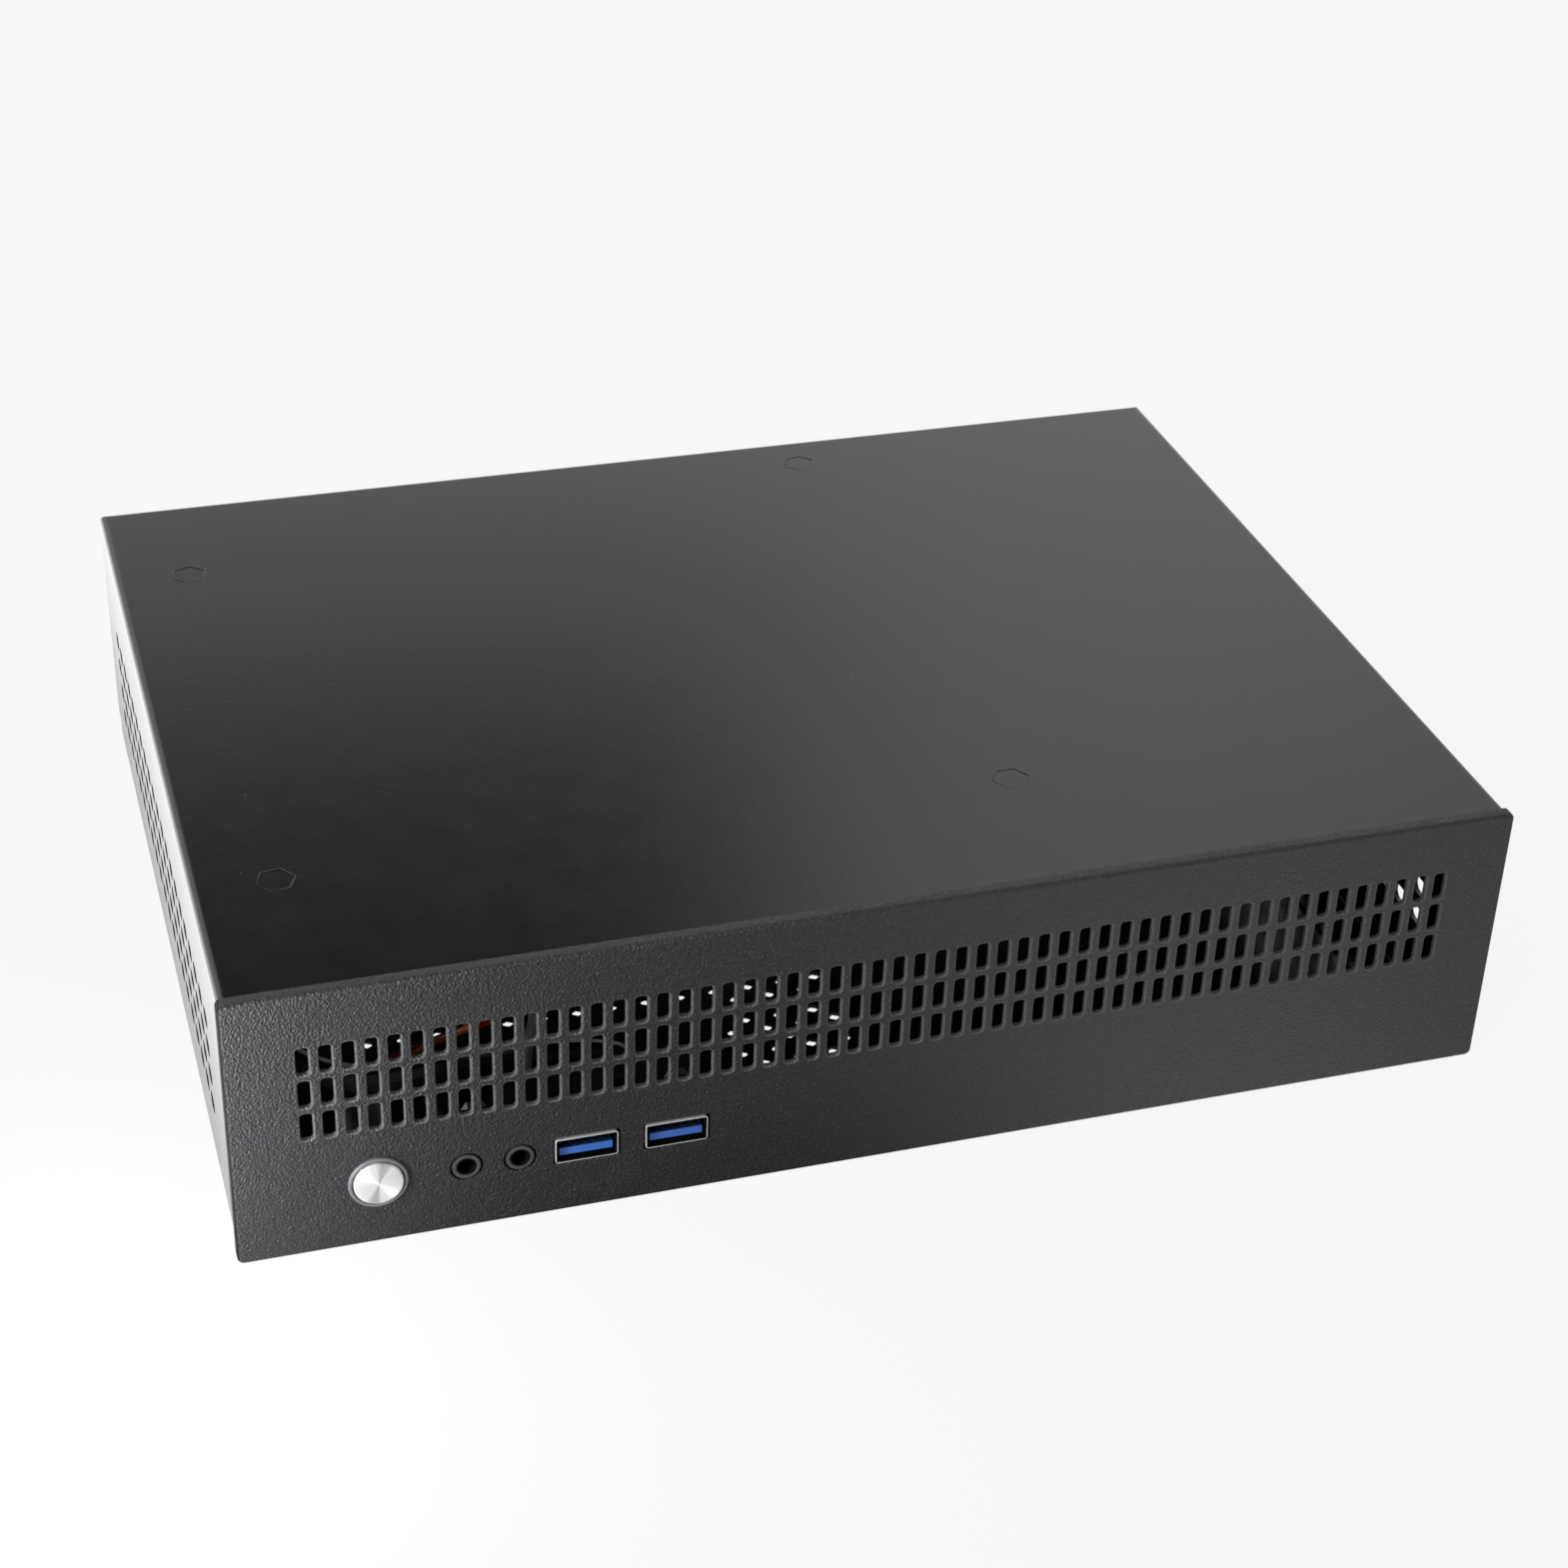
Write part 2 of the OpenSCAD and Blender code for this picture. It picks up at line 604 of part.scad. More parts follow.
module cover() {
    color("#2a2a2b") difference() {
        along_y(body_front, case_d) {
            translate([-cover_half_w + cover_fold_r, 0]) square([2 * (cover_half_w - cover_fold_r), cover_t]);
            for (s = [0, 1]) mirror([s, 0]) {
                translate([cover_half_w - cover_t, cover_fold_r])
                    square([cover_t, cover_flange_h - cover_fold_r]);
                translate([cover_half_w - cover_fold_r, cover_fold_r]) mirror([0, 1])
                    fold_profile(cover_fold_r, cover_t);
            }
        }
        translate([0, 0, -eps]) linear_extrude(cover_t + 2 * eps, convexity = 10) {
            perforation(0, floor(perf_w / perf_half / 2), 0, floor(perf_l / perf_half));
            perforation(round(perf_fore_x / perf_half / 2), floor(perf_fore_w / perf_half / 2),
                -floor(perf_fore_l / perf_half), floor(perf_fore_l / perf_half));
        }
        for (p = COVER_SCREWS) translate([p[0], py(p[1]), 0]) {
            cylinder(d1 = cover_head_d + 2 * head_gap, d2 = stud_d + 2 * head_gap, h = cover_head_t);
            cylinder(d = stud_d + 2 * head_gap, h = cover_t + eps);
        }
    }
}

module slot_outline() {
    for (c = [0:slot_cols - 1], r = [0:slot_rows - 1])
        translate([(c - (slot_cols - 1) / 2) * slot_pitch, row_low_z + r * row_pitch])
            round_rect(slot_w, slot_h, slot_r);
}

// The front panel's outer form: round outline corners and round folds, grown inwards by t
module panel_block(t, from) {
    r = max(panel_corner_r - t, 0.3);
    f = max(panel_fold_r - t / 2, 0.2);
    intersection() {
        along_y(from, panel_rim + (t > 0 ? eps : 0)) translate([0, case_h / 2])
            round_rect(case_w - 2 * t, case_h - 2 * t, r);
        along_x(case_w / 2) translate([py(from), 0]) {
            translate([0, t + f]) square([panel_rim + eps, case_h - 2 * (t + f)]);
            translate([f, t]) square([panel_rim + eps - f, case_h - 2 * t]);
            for (z = [t + f, case_h - t - f]) translate([f, z]) circle(f, $fn = 24);
        }
        translate([0, py(from), -eps]) linear_extrude(case_h + 2 * eps) {
            translate([-case_w / 2 + t + f, 0]) square([case_w - 2 * (t + f), panel_rim + eps]);
            translate([-case_w / 2 + t, f]) square([case_w - 2 * t, panel_rim + eps - f]);
            for (s = [-1, 1]) translate([s * (case_w / 2 - t - f), f]) circle(f, $fn = 24);
        }
    }
}

module front_panel() {
    color("#333334") difference() {
        panel_block(0, 0);
        panel_block(panel_t, panel_t);
        along_y(-eps, panel_rim) {
            slot_outline();
            translate([px(button_x), button_z]) circle(barrel_r + hole_gap);
            for (x = [jack_left_x, jack_right_x]) translate([px(x), socket_z])
                circle(nose_d / 2 + cutout_gap);
            for (x = [usb_left_x, usb_right_x]) translate([px(x), socket_z])
                round_rect(usb_w + 2 * cutout_gap, usb_h + 2 * cutout_gap, 0.5);
        }
    }
}

// A sheet ring inside the front panel, with lips that are welded to the chassis
module front_frame() {
    window_half_w = frame_half_w - frame_side_w;
    window_low = frame_low + frame_bottom_h;
    lip_low = side_low + lip_gap;
    lip_h = plate_in - chassis_fold_r - lip_low;
    lip_l = body_front + frame_lip - panel_t;
    color("#6f7274") difference() {
        union() {
            along_y(panel_t, panel_t + frame_t) difference() {
                translate([-frame_half_w, frame_low]) square([2 * frame_half_w, plate_in - frame_low]);
                translate([-window_half_w, window_low])
                    square([2 * window_half_w, plate_in - frame_top_h - window_low]);
            }
            translate([-frame_half_w + chassis_fold_r, py(panel_t), plate_in - frame_t])
                cube([2 * (frame_half_w - chassis_fold_r), lip_l, frame_t]);
            for (s = [0, 1]) mirror([s, 0]) translate([frame_half_w - frame_t, py(panel_t), lip_low])
                cube([frame_t, lip_l, lip_h]);
            if (wall_in > frame_half_w) for (s = [0, 1]) mirror([s, 0])
                translate([frame_half_w - frame_t, py(body_front), lip_low])
                    cube([wall_in - frame_half_w + frame_t, frame_lip, lip_h]);
        }
        for (p = STUDS) bar(p[0], p[1], stud_d / 2 + hole_gap, 0, panel_t + frame_t + eps);
        // Room for the standoffs, which reach the ring only in a very short case
        board_hole_places() translate([0, 0, plate_in - standoff_h - sheet_gap])
            cylinder(d = standoff_d + 2 * sheet_gap, h = standoff_h + sheet_gap + eps);
    }
}

module board_standoffs() {
    color("#b9bcc0") board_hole_places() difference() {
        union() {
            translate([0, 0, plate_in]) linear_extrude(head_t) hexagon(head_af);
            translate([0, 0, plate_in - standoff_h]) cylinder(d = standoff_d, h = standoff_h);
        }
        translate([0, 0, plate_in - standoff_h - eps])
            cylinder(d = standoff_bore, h = standoff_h + eps - bore_floor);
    }
}

module cover_screws() {
    color("#3a3a3c") for (p = COVER_SCREWS) translate([p[0], py(p[1]), 0]) difference() {
        union() {
            cylinder(d1 = cover_head_d, d2 = stud_d, h = cover_head_t);
            cylinder(d = stud_d, h = cover_screw_l);
        }
        translate([0, 0, -eps]) for (a = [0, 90]) rotate([0, 0, a])
            translate([-screw_slot_l / 2, -screw_slot_w / 2, 0])
                cube([screw_slot_l, screw_slot_w, eps + screw_slot_depth]);
    }
}

module panel_studs() {
    color("#c9ccd0") for (p = concat(STUDS, TAB_STUDS))
        bar(p[0], p[1], stud_d / 2, panel_t, panel_t + stud_l);
}

module panel_nuts() {
    color("#d4d2c8") for (p = concat(STUDS, TAB_STUDS)) difference() {
        along_y(panel_t + frame_t, panel_t + frame_t + nut_t) translate(p) hexagon(nut_af);
        bar(p[0], p[1], stud_d / 2 + thread_gap, panel_t, panel_t + stud_l + eps);
    }
}

module button_cap() {
    color("#d8dadc") union() {
        bar(px(button_x), button_z, cap_r, -cap_proud, cap_t - cap_proud);
        bar(px(button_x), button_z, stem_d / 2, cap_t - cap_proud - 0.2, stem_end);
    }
}

module button_ring() {
    color("#c4c7ca") difference() {
        bar(px(button_x), button_z, ring_d / 2, -ring_proud, 0);
        bar(px(button_x), button_z, cap_bore_r, -ring_proud - eps, eps);
    }
}

module button_body() {
    color("#1c1c1e") difference() {
        bar(px(button_x), button_z, barrel_r, 0, barrel_l);
        bar(px(button_x), button_z, cap_bore_r, -eps, cap_floor);
        bar(px(button_x), button_z, stem_d / 2 + button_gap, -eps, stem_end + spring_room);
    }
}

module button_nut() {
    color("#c9ccd0") difference() {
        along_y(panel_t, panel_t + switch_nut_t) translate([px(button_x), button_z])
            hexagon(switch_nut_af);
        bar(px(button_x), button_z, barrel_r + thread_gap, 0, panel_t + switch_nut_t + eps);
    }
}

module button_spring() {
    mean_r = stem_d / 2 - spring_wire;
    low = stem_end + spring_gap + spring_wire / 2;
    high = stem_end + spring_room - spring_gap - spring_wire / 2;
    steps = 14 * spring_turns;
    coil = [for (i = [0:steps]) let (a = 360 * spring_turns * i / steps)
        [button_x + mean_r * cos(a), low + (high - low) * i / steps, button_z + mean_r * sin(a)]];
    helix = in_case(coil);
    color("#b0b3b6") lead(helix, tangents(helix), spring_wire, 6);
}

module button_pins() {
    color("#d8c890") for (x = PINS, z = [-pair, pair]) translate([x, 0, z])
        block([button_x - pin_w / 2, barrel_l, button_z - pin_t / 2],
            [button_x + pin_w / 2, pin_end, button_z + pin_t / 2]);
}

// A data socket's folded shell, open at the front, with two spring windows below
module usb_shell(x) {
    half_h = usb_h / 2;
    color("#c3c6ca") difference() {
        along_y(-usb_proud, usb_l) translate([px(x), socket_z]) round_rect(usb_w, usb_h, 0.6);
        along_y(-usb_proud - eps, usb_l - usb_wall) translate([px(x), socket_z])
            round_rect(usb_w - 2 * usb_wall, usb_h - 2 * usb_wall, 0.3);
        for (s = [-1, 1]) block([x + s * window_x - window_w / 2, window_front, socket_z - half_h - eps],
            [x + s * window_x + window_w / 2, window_front + window_l, socket_z]);
    }
}

module usb_tongue(x) {
    floor_z = socket_z - usb_h / 2 + usb_wall;
    inner_w = usb_w - 2 * usb_wall - 0.2;
    color("#1f4f9e") union() {
        block([x - tongue_w / 2, tongue_back - usb_proud, floor_z + tongue_rise],
            [x + tongue_w / 2, usb_l - 4, floor_z + tongue_rise + tongue_t]);
        block([x - inner_w / 2, usb_l - 4.5, floor_z + 0.1],
            [x + inner_w / 2, usb_l - usb_wall, floor_z + usb_h - 2 * usb_wall - 0.1]);
    }
}

module usb_contacts() {
    top = socket_z - usb_h / 2 + usb_wall + tongue_rise + tongue_t;
    front = tongue_back - usb_proud + contact_back;
    color("#d9c48a") for (x = [usb_left_x, usb_right_x]) {
        for (o = LONG_CONTACTS) block([x + o - long_contact_w / 2, front + long_contact_back, top],
            [x + o + long_contact_w / 2, usb_l - contact_end, top + contact_t]);
        for (o = SHORT_CONTACTS) block([x + o - short_contact_w / 2, front, top],
            [x + o + short_contact_w / 2, front + short_contact_l, top + contact_t]);
    }
}

module audio_jack(x) {
    color("#2b2c2e") difference() {
        union() {
            bar(px(x), socket_z, nose_d / 2, 0.05, 3);
            block([x - jack_body_w / 2, panel_t + 0.6, socket_z - 3], [x + jack_body_w / 2, jack_l, pcb_low]);
        }
        bar(px(x), socket_z, jack_bore / 2, -eps, jack_bore_l);
    }
}

module io_board() {
    color("#1d5a36") difference() {
        block([pcb_left, panel_t + 0.4, pcb_low], [pcb_left + pcb_w, pcb_rear, pcb_top]);
        for (p = BOARD_SCREWS) translate([px(p[0]), py(p[1]), pcb_low - eps])
            cylinder(d = board_screw_d + 2 * hole_gap, h = pcb_t + 2 * eps);
    }
}

// An angle bracket: an upright tab on the panel's studs and a shelf with two bosses
module io_bracket() {
    low_x = pcb_left + bracket_inset;
    high_x = pcb_left + pcb_w - bracket_inset;
    color("#8d9194") difference() {
        union() {
            block([low_x, panel_t, shelf_low], [high_x, shelf_rear, shelf_low + bracket_t]);
            block([low_x, panel_t, shelf_low], [high_x, panel_t + frame_t, tab_top]);
            for (p = BOARD_SCREWS) translate([px(p[0]), py(p[1]), pcb_top])
                cylinder(d = boss_d, h = boss_h + bracket_t / 2);
        }
        for (p = BOARD_SCREWS) translate([px(p[0]), py(p[1]), pcb_top - eps])
            cylinder(d = board_screw_d + 2 * thread_gap, h = boss_h + bracket_t + 2 * eps);
        for (p = TAB_STUDS) bar(p[0], p[1], stud_d / 2 + hole_gap, 0, panel_t + frame_t + eps);
    }
}

module io_board_screws() {
    color("#c9ccd0") for (p = BOARD_SCREWS) translate([px(p[0]), py(p[1]), 0]) difference() {
        union() {
            translate([0, 0, pcb_low - board_head_t]) cylinder(d = board_head_d, h = board_head_t);
            translate([0, 0, pcb_low - eps])
                cylinder(d = board_screw_d, h = pcb_t + boss_h + bracket_t + 2 * eps);
        }
        translate([0, 0, pcb_low - board_head_t - eps]) for (a = [0, 90]) rotate([0, 0, a])
            translate([-screw_slot_l / 2, -screw_slot_w / 2, 0])
                cube([screw_slot_l, screw_slot_w, eps + screw_slot_depth]);
    }
}

// Moulded blocks under the socket board's rear edge, where the cables leave it
module cable_blocks() {
    u = USB_ROUTE[0];
    a = AUDIO_ROUTE[0];
    color("#202022") {
        block([u[0] - usb_block_half_w, u[1] - block_l, u[2] - usb_block_drop],
            [u[0] + usb_block_half_w, u[1], pcb_low]);
        block([a[0] - audio_block_half_w, a[1] - block_l, a[2] - audio_block_drop],
            [a[0] + audio_block_half_w, a[1], pcb_low]);
    }
}

module usb_cable() {
    p = in_case(smooth_path(USB_ROUTE, 3));
    color("#1b1b1c") lead(p, lead_tangents(p), usb_cable_d, 10);
}

module audio_cable() {
    p = in_case(smooth_path(AUDIO_ROUTE, 4));
    color("#77797c") lead(p, lead_tangents(p), audio_cable_d, 8);
}

// Two thin leads side by side along one route
module lead_pair(route) {
    middle = in_case(smooth_path(route, 4));
    n = side_vectors(lead_tangents(middle), [0, 0, 1]);
    for (s = [-pair, pair]) {
        p = [for (i = [0:len(middle) - 1]) middle[i] + s * n[i]];
        lead(p, lead_tangents(p), lead_d, 8);
    }
}

module power_leads() {
    color("#b3261e") lead_pair(POWER_ROUTE);
}

module led_leads() {
    color("#d2691e") lead_pair(LED_ROUTE);
}

// A plug housing that starts where a route ends
module plug(route, size, drop) {
    e = route[len(route) - 1];
    low = [e[0] - size[0] / 2, e[1], e[2] - drop];
    difference() {
        block(low, low + size);
        block(low + [0.7, size[1] - 5, 0.7], low + [size[0] - 0.7, size[1] + eps, size[2] - 0.7]);
    }
}

module usb_plug() {
    color("#1d3f86") plug(USB_ROUTE, usb_plug_box, usb_plug_drop);
}

module audio_plug() {
    color("#1b1b1c") plug(AUDIO_ROUTE, audio_plug_box, audio_plug_box[2] / 2);
}

module power_plug() {
    color("#1b1b1c") plug(POWER_ROUTE, lead_plug_box, lead_plug_box[2] / 2);
}

module led_plug() {
    color("#1b1b1c") plug(LED_ROUTE, lead_plug_box, lead_plug_box[2] / 2);
}

// Square clips stuck to the chassis's left side, which the loom runs through
module cable_clips() {
    wall_x = body_inset + chassis_t;
    inner_x = wall_x + clip_base_t;
    color("#17171a") for (d = CLIP_DEPTHS) difference() {
        union() {
            block([wall_x, d, clip_low], [inner_x, d + clip_l, clip_high - 1]);
            block([inner_x - 0.1, d, clip_low], [inner_x + clip_reach, d + clip_l, clip_high]);
        }
        block([inner_x, d - eps, clip_low + clip_t],
            [inner_x + clip_reach - clip_t, d + clip_l + eps, clip_high - clip_t]);
    }
}

chassis();
cover();
front_panel();
front_frame();
board_standoffs();
cover_screws();
panel_studs();
panel_nuts();
button_cap();
button_ring();
button_body();
button_nut();
button_spring();
button_pins();
usb_shell(usb_left_x);  // usb_shell_left
usb_shell(usb_right_x);  // usb_shell_right
usb_tongue(usb_left_x);  // usb_tongue_left
usb_tongue(usb_right_x);  // usb_tongue_right
usb_contacts();
audio_jack(jack_left_x);  // audio_jack_left
audio_jack(jack_right_x);  // audio_jack_right
io_board();
io_bracket();
io_board_screws();
cable_blocks();
usb_cable();
usb_plug();
audio_cable();
audio_plug();
power_leads();
power_plug();
led_leads();
led_plug();
cable_clips();
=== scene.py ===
import json
import math

import bmesh
import bpy
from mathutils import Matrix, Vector
from mathutils.geometry import delaunay_2d_cdt

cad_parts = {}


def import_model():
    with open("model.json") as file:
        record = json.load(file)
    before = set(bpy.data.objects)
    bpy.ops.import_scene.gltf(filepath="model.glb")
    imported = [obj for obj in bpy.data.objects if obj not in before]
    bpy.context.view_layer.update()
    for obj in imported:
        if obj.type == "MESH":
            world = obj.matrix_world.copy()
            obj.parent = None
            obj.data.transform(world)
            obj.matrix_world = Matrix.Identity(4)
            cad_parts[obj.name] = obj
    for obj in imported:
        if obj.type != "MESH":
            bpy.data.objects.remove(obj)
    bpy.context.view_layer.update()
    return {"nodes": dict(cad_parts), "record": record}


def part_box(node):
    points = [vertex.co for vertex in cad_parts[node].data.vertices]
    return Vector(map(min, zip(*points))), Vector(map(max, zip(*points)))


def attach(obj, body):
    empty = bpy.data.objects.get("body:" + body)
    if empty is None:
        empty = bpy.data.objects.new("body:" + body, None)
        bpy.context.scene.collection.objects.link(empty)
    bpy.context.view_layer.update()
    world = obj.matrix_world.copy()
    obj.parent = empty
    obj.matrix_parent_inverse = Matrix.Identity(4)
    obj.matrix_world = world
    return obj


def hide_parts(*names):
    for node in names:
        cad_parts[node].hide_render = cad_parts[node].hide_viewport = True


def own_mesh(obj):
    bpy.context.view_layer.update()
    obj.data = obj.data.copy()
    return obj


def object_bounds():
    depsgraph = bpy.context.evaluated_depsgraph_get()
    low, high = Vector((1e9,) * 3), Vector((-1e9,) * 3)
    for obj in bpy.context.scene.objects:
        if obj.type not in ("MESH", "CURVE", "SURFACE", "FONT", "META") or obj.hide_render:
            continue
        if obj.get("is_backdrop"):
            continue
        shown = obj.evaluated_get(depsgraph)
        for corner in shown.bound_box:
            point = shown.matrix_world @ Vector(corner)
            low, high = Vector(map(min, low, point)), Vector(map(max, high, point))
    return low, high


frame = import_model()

# Places and sizes that the frame gives, in metres
MM = 0.001
panel_low, panel_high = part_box("front_panel")
shell_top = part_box("chassis")[1].z
cap_low, cap_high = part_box("button_cap")
ring_low, ring_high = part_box("button_ring")
FACE_Y = panel_low.y
PANEL_W = panel_high.x - panel_low.x
PANEL_H = panel_high.z - panel_low.z
PANEL_T = 1.2 * MM
RIM_D = panel_high.y - panel_low.y

# Camera, set from the corner of the front panel that is lowest and furthest left
CAMERA_FROM_CORNER = Vector((-40.2, -468.2, 408.6)) * MM
CAMERA_TURN = (57.618, -1.707, -16.805)
CAMERA_LENS = 69.62

# Front slots and the holes around the sockets and the button
SLOT_W, SLOT_H, SLOT_R = 2.6 * MM, 6.5 * MM, 0.8 * MM
SLOT_PITCH, ROW_PITCH = 4.5 * MM, 8.0 * MM
SLOT_COLUMNS, SLOT_ROWS = 55, 3
ROW_LOW_Z = 32.0 * MM
SLOT_ROLL = 0.34 * MM
HOLE_ROLL = 0.2 * MM
BARREL_ROLL = 0.05 * MM
CUTOUT_GAP = 0.4 * MM
BARREL_GAP = 0.1 * MM
FOLD_R = 0.8 * MM
CORNER_R = 1.5 * MM

# Button: the cap's thickness, its stem and the inside of its light ring
CAP_T = 2.6 * MM
STEM_R = 2.9 * MM
RING_INNER_R = 5.35 * MM
TURNING_MARK = 0.16 * MM

# Audio sockets and their noses' diameter
JACKS = (("audio_jack_left", 5.9 * MM), ("audio_jack_right", 5.9 * MM))

# Hexagonal heads: from the left edge, from the front face (mm) and turn (degrees)
HEAD_PLACES = ((17.45, 40.3, 8), (17.45, 172.38, 22), (174.93, 40.3, 3), (174.93, 195.24, 17))
HEAD_AF = 7.1 * MM

# Share of the floor's white that is its own glow
FLOOR_GLOW = 0.88

# Lamps: name, place, size, power and the point that each is aimed at
LAMPS = (("key", (-1.2, -0.6, 0.75), 1.1, 9.0, (0.0, 0.0, 0.03)),
         ("near", (-0.205, -0.15, 0.045), 0.04, 0.22, (-0.1, -0.1, 0.03)))


def camera():
    data = bpy.data.cameras.new("view")
    data.lens = CAMERA_LENS
    data.sensor_width = 36.0
    data.clip_start = 0.01
    data.clip_end = 50.0
    eye = bpy.data.objects.new("view", data)
    eye.location = Vector((panel_low.x, panel_low.y, panel_low.z)) + CAMERA_FROM_CORNER
    eye.rotation_euler = [math.radians(a) for a in CAMERA_TURN]
    bpy.context.scene.collection.objects.link(eye)
    bpy.context.scene.camera = eye


# Materials

class Shader:
    """A material with its Principled shader and short calls for the nodes that feed it."""

    def __init__(self, name):
        self.material = bpy.data.materials.new(name)
        self.material.use_nodes = True
        self.tree = self.material.node_tree
        self.surface = self.tree.nodes["Principled BSDF"]
        self.place = self.add("ShaderNodeTexCoord").outputs["Object"]

    def add(self, kind, **settings):
        node = self.tree.nodes.new(kind)
        for key, value in settings.items():
            setattr(node, key, value)
        return node

    def link(self, a, b):
        self.tree.links.new(a, b)

    def set(self, **values):
        for key, value in values.items():
            self.surface.inputs[key.replace("_", " ")].default_value = value
        return self

    def noise(self, size, detail=2.0, rough=0.5, stretch=None):
        node = self.add("ShaderNodeTexNoise")
        node.inputs["Scale"].default_value = 1.0 / size
        node.inputs["Detail"].default_value = detail
        node.inputs["Roughness"].default_value = rough
        place = self.place
        if stretch:
            mapping = self.add("ShaderNodeMapping")
            mapping.inputs["Scale"].default_value = stretch
            self.link(place, mapping.inputs["Vector"])
            place = mapping.outputs["Vector"]
        self.link(place, node.inputs["Vector"])
        return node.outputs["Fac"]

    def spread(self, value, low, high, from_low=0.3, from_high=0.7):
        node = self.add("ShaderNodeMapRange")
        node.inputs["From Min"].default_value = from_low
        node.inputs["From Max"].default_value = from_high
        node.inputs["To Min"].default_value = low
        node.inputs["To Max"].default_value = high
        self.link(value, node.inputs["Value"])
        return node.outputs["Result"]

    def ramp(self, value, dark, light, from_low=0.3, from_high=0.7):
        node = self.add("ShaderNodeValToRGB")
        node.color_ramp.elements[0].position = from_low
        node.color_ramp.elements[0].color = (*dark, 1.0)
        node.color_ramp.elements[1].position = from_high
        node.color_ramp.elements[1].color = (*light, 1.0)
        self.link(value, node.inputs["Fac"])
        return node.outputs["Color"]

    def blend(self, value, dark, light):
        self.link(self.ramp(value, dark, light), self.surface.inputs["Base Color"])
        return self

    def mix(self, share, a, b):
        """The colour a, turned to b by the share: a is a socket and b a constant."""
        node = self.add("ShaderNodeMix", data_type="RGBA")
        self.link(share, node.inputs["Factor"])
        self.link(a, node.inputs[6])
        node.inputs[7].default_value = b
        return node.outputs[2]

    def rough(self, value, low, high):
        self.link(self.spread(value, low, high), self.surface.inputs["Roughness"])
        return self

    def bumps(self, *layers):
        """Stacks height layers: each is a value, its depth in metres and its strength."""
        last = None
        for value, depth, strength in layers:
            node = self.add("ShaderNodeBump")
            node.inputs["Distance"].default_value = depth
            node.inputs["Strength"].default_value = strength
            self.link(value, node.inputs["Height"])
            if last:
                self.link(last, node.inputs["Normal"])
            last = node.outputs["Normal"]
        self.link(last, self.surface.inputs["Normal"])
        return self


def middle(node):
    """The middle of a node's box, in X and Z."""
    low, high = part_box(node)
    return ((low.x + high.x) / 2, (low.z + high.z) / 2)


def node_maths(tree):
    """Short calls for the Math and Map Range nodes of a tree."""
    def maths(operation, a, b=None):
        node = tree.nodes.new("ShaderNodeMath")
        node.operation = operation
        for k, v in enumerate((a, b)):
            if isinstance(v, float):
                node.inputs[k].default_value = v
            elif v is not None:
                tree.links.new(v, node.inputs[k])
        return node.outputs[0]

    def ranged(value, from_low, from_high, low, high):
        node = tree.nodes.new("ShaderNodeMapRange")
        node.interpolation_type = "SMOOTHSTEP"
        for key, v in zip(("From Min", "From Max", "To Min", "To Max"), (from_low, from_high, low, high)):
            node.inputs[key].default_value = v
        tree.links.new(value, node.inputs["Value"])
        return node.outputs["Result"]

    return maths, ranged


def grey(v):
    return (v, v, v)


def smooth_paint(name, tone, rough=(0.13, 0.17)):
    """Thin black powder coat with a fine, nearly even grain and a few specks of dust."""
    s = Shader(name).set(IOR=1.5)
    dots = s.add("ShaderNodeTexVoronoi", feature="F1")
    dots.inputs["Scale"].default_value = 1.0 / (11 * MM)
    s.link(s.place, dots.inputs["Vector"])
    speck = s.add("ShaderNodeMath", operation="LESS_THAN")
    speck.inputs[1].default_value = 0.017
    s.link(dots.outputs["Distance"], speck.inputs[0])
    paint = s.ramp(s.noise(40 * MM, 3.0), grey(tone * 0.9), grey(tone * 1.12))
    mix = s.mix(speck.outputs["Value"], paint, (0.16, 0.16, 0.155, 1.0))
    s.link(mix, s.surface.inputs["Base Color"])
    s.rough(s.noise(9 * MM, 4.0), *rough)
    return s.bumps((s.noise(0.9 * MM, 3.0, 0.55), 0.03 * MM, 0.4)).material


def coarse_paint(name, tone):
    """Black powder coat with the sandy orange peel of the front panel; its colour has a painted highlight on
    the slots' rolled edges and painted shade on the rim that faces left.
    """
    s = Shader(name).set(IOR=1.5, Specular_Tint=(0.96, 0.96, 1.0, 1.0))
    paint = s.ramp(s.noise(0.9 * MM, 2.0, 0.6), (tone * 0.79, tone * 0.79, tone * 0.85),
                   (tone * 1.2, tone * 1.2, tone * 1.3))
    # Painted highlight: the slots' rolled edges are coloured lighter, as if lit.
    edge = s.add("ShaderNodeAttribute", attribute_name="edge")
    painted_edge_highlight = s.add("ShaderNodeMath", operation="MULTIPLY")
    s.link(edge.outputs["Fac"], painted_edge_highlight.inputs[0])
    s.link(s.spread(s.noise(0.5 * MM, 2.0), 0.6, 1.0), painted_edge_highlight.inputs[1])
    # Painted shade: the rim that faces left is coloured darker, and mirrors less
    side = s.add("ShaderNodeSeparateXYZ")
    s.link(s.add("ShaderNodeTexCoord").outputs["Normal"], side.inputs[0])
    s.link(s.spread(side.outputs["X"], 0.05, 0.5, -0.65, -0.25), s.surface.inputs["Specular IOR Level"])
    left_rim_painted_shade = s.mix(s.spread(side.outputs["X"], 1.0, 0.0, -0.65, -0.25), paint, (0.008, 0.008, 0.008, 1.0))
    s.link(s.mix(painted_edge_highlight.outputs["Value"], left_rim_painted_shade, (0.12, 0.12, 0.122, 1.0)), s.surface.inputs["Base Color"])
    s.rough(s.noise(2.2 * MM, 3.0), 0.34, 0.44)
    return s.bumps((s.noise(0.55 * MM, 2.0, 0.6), 0.6 * MM, 1.0),
                   (s.noise(2.4 * MM, 2.0, 0.5), 0.2 * MM, 0.2)).material


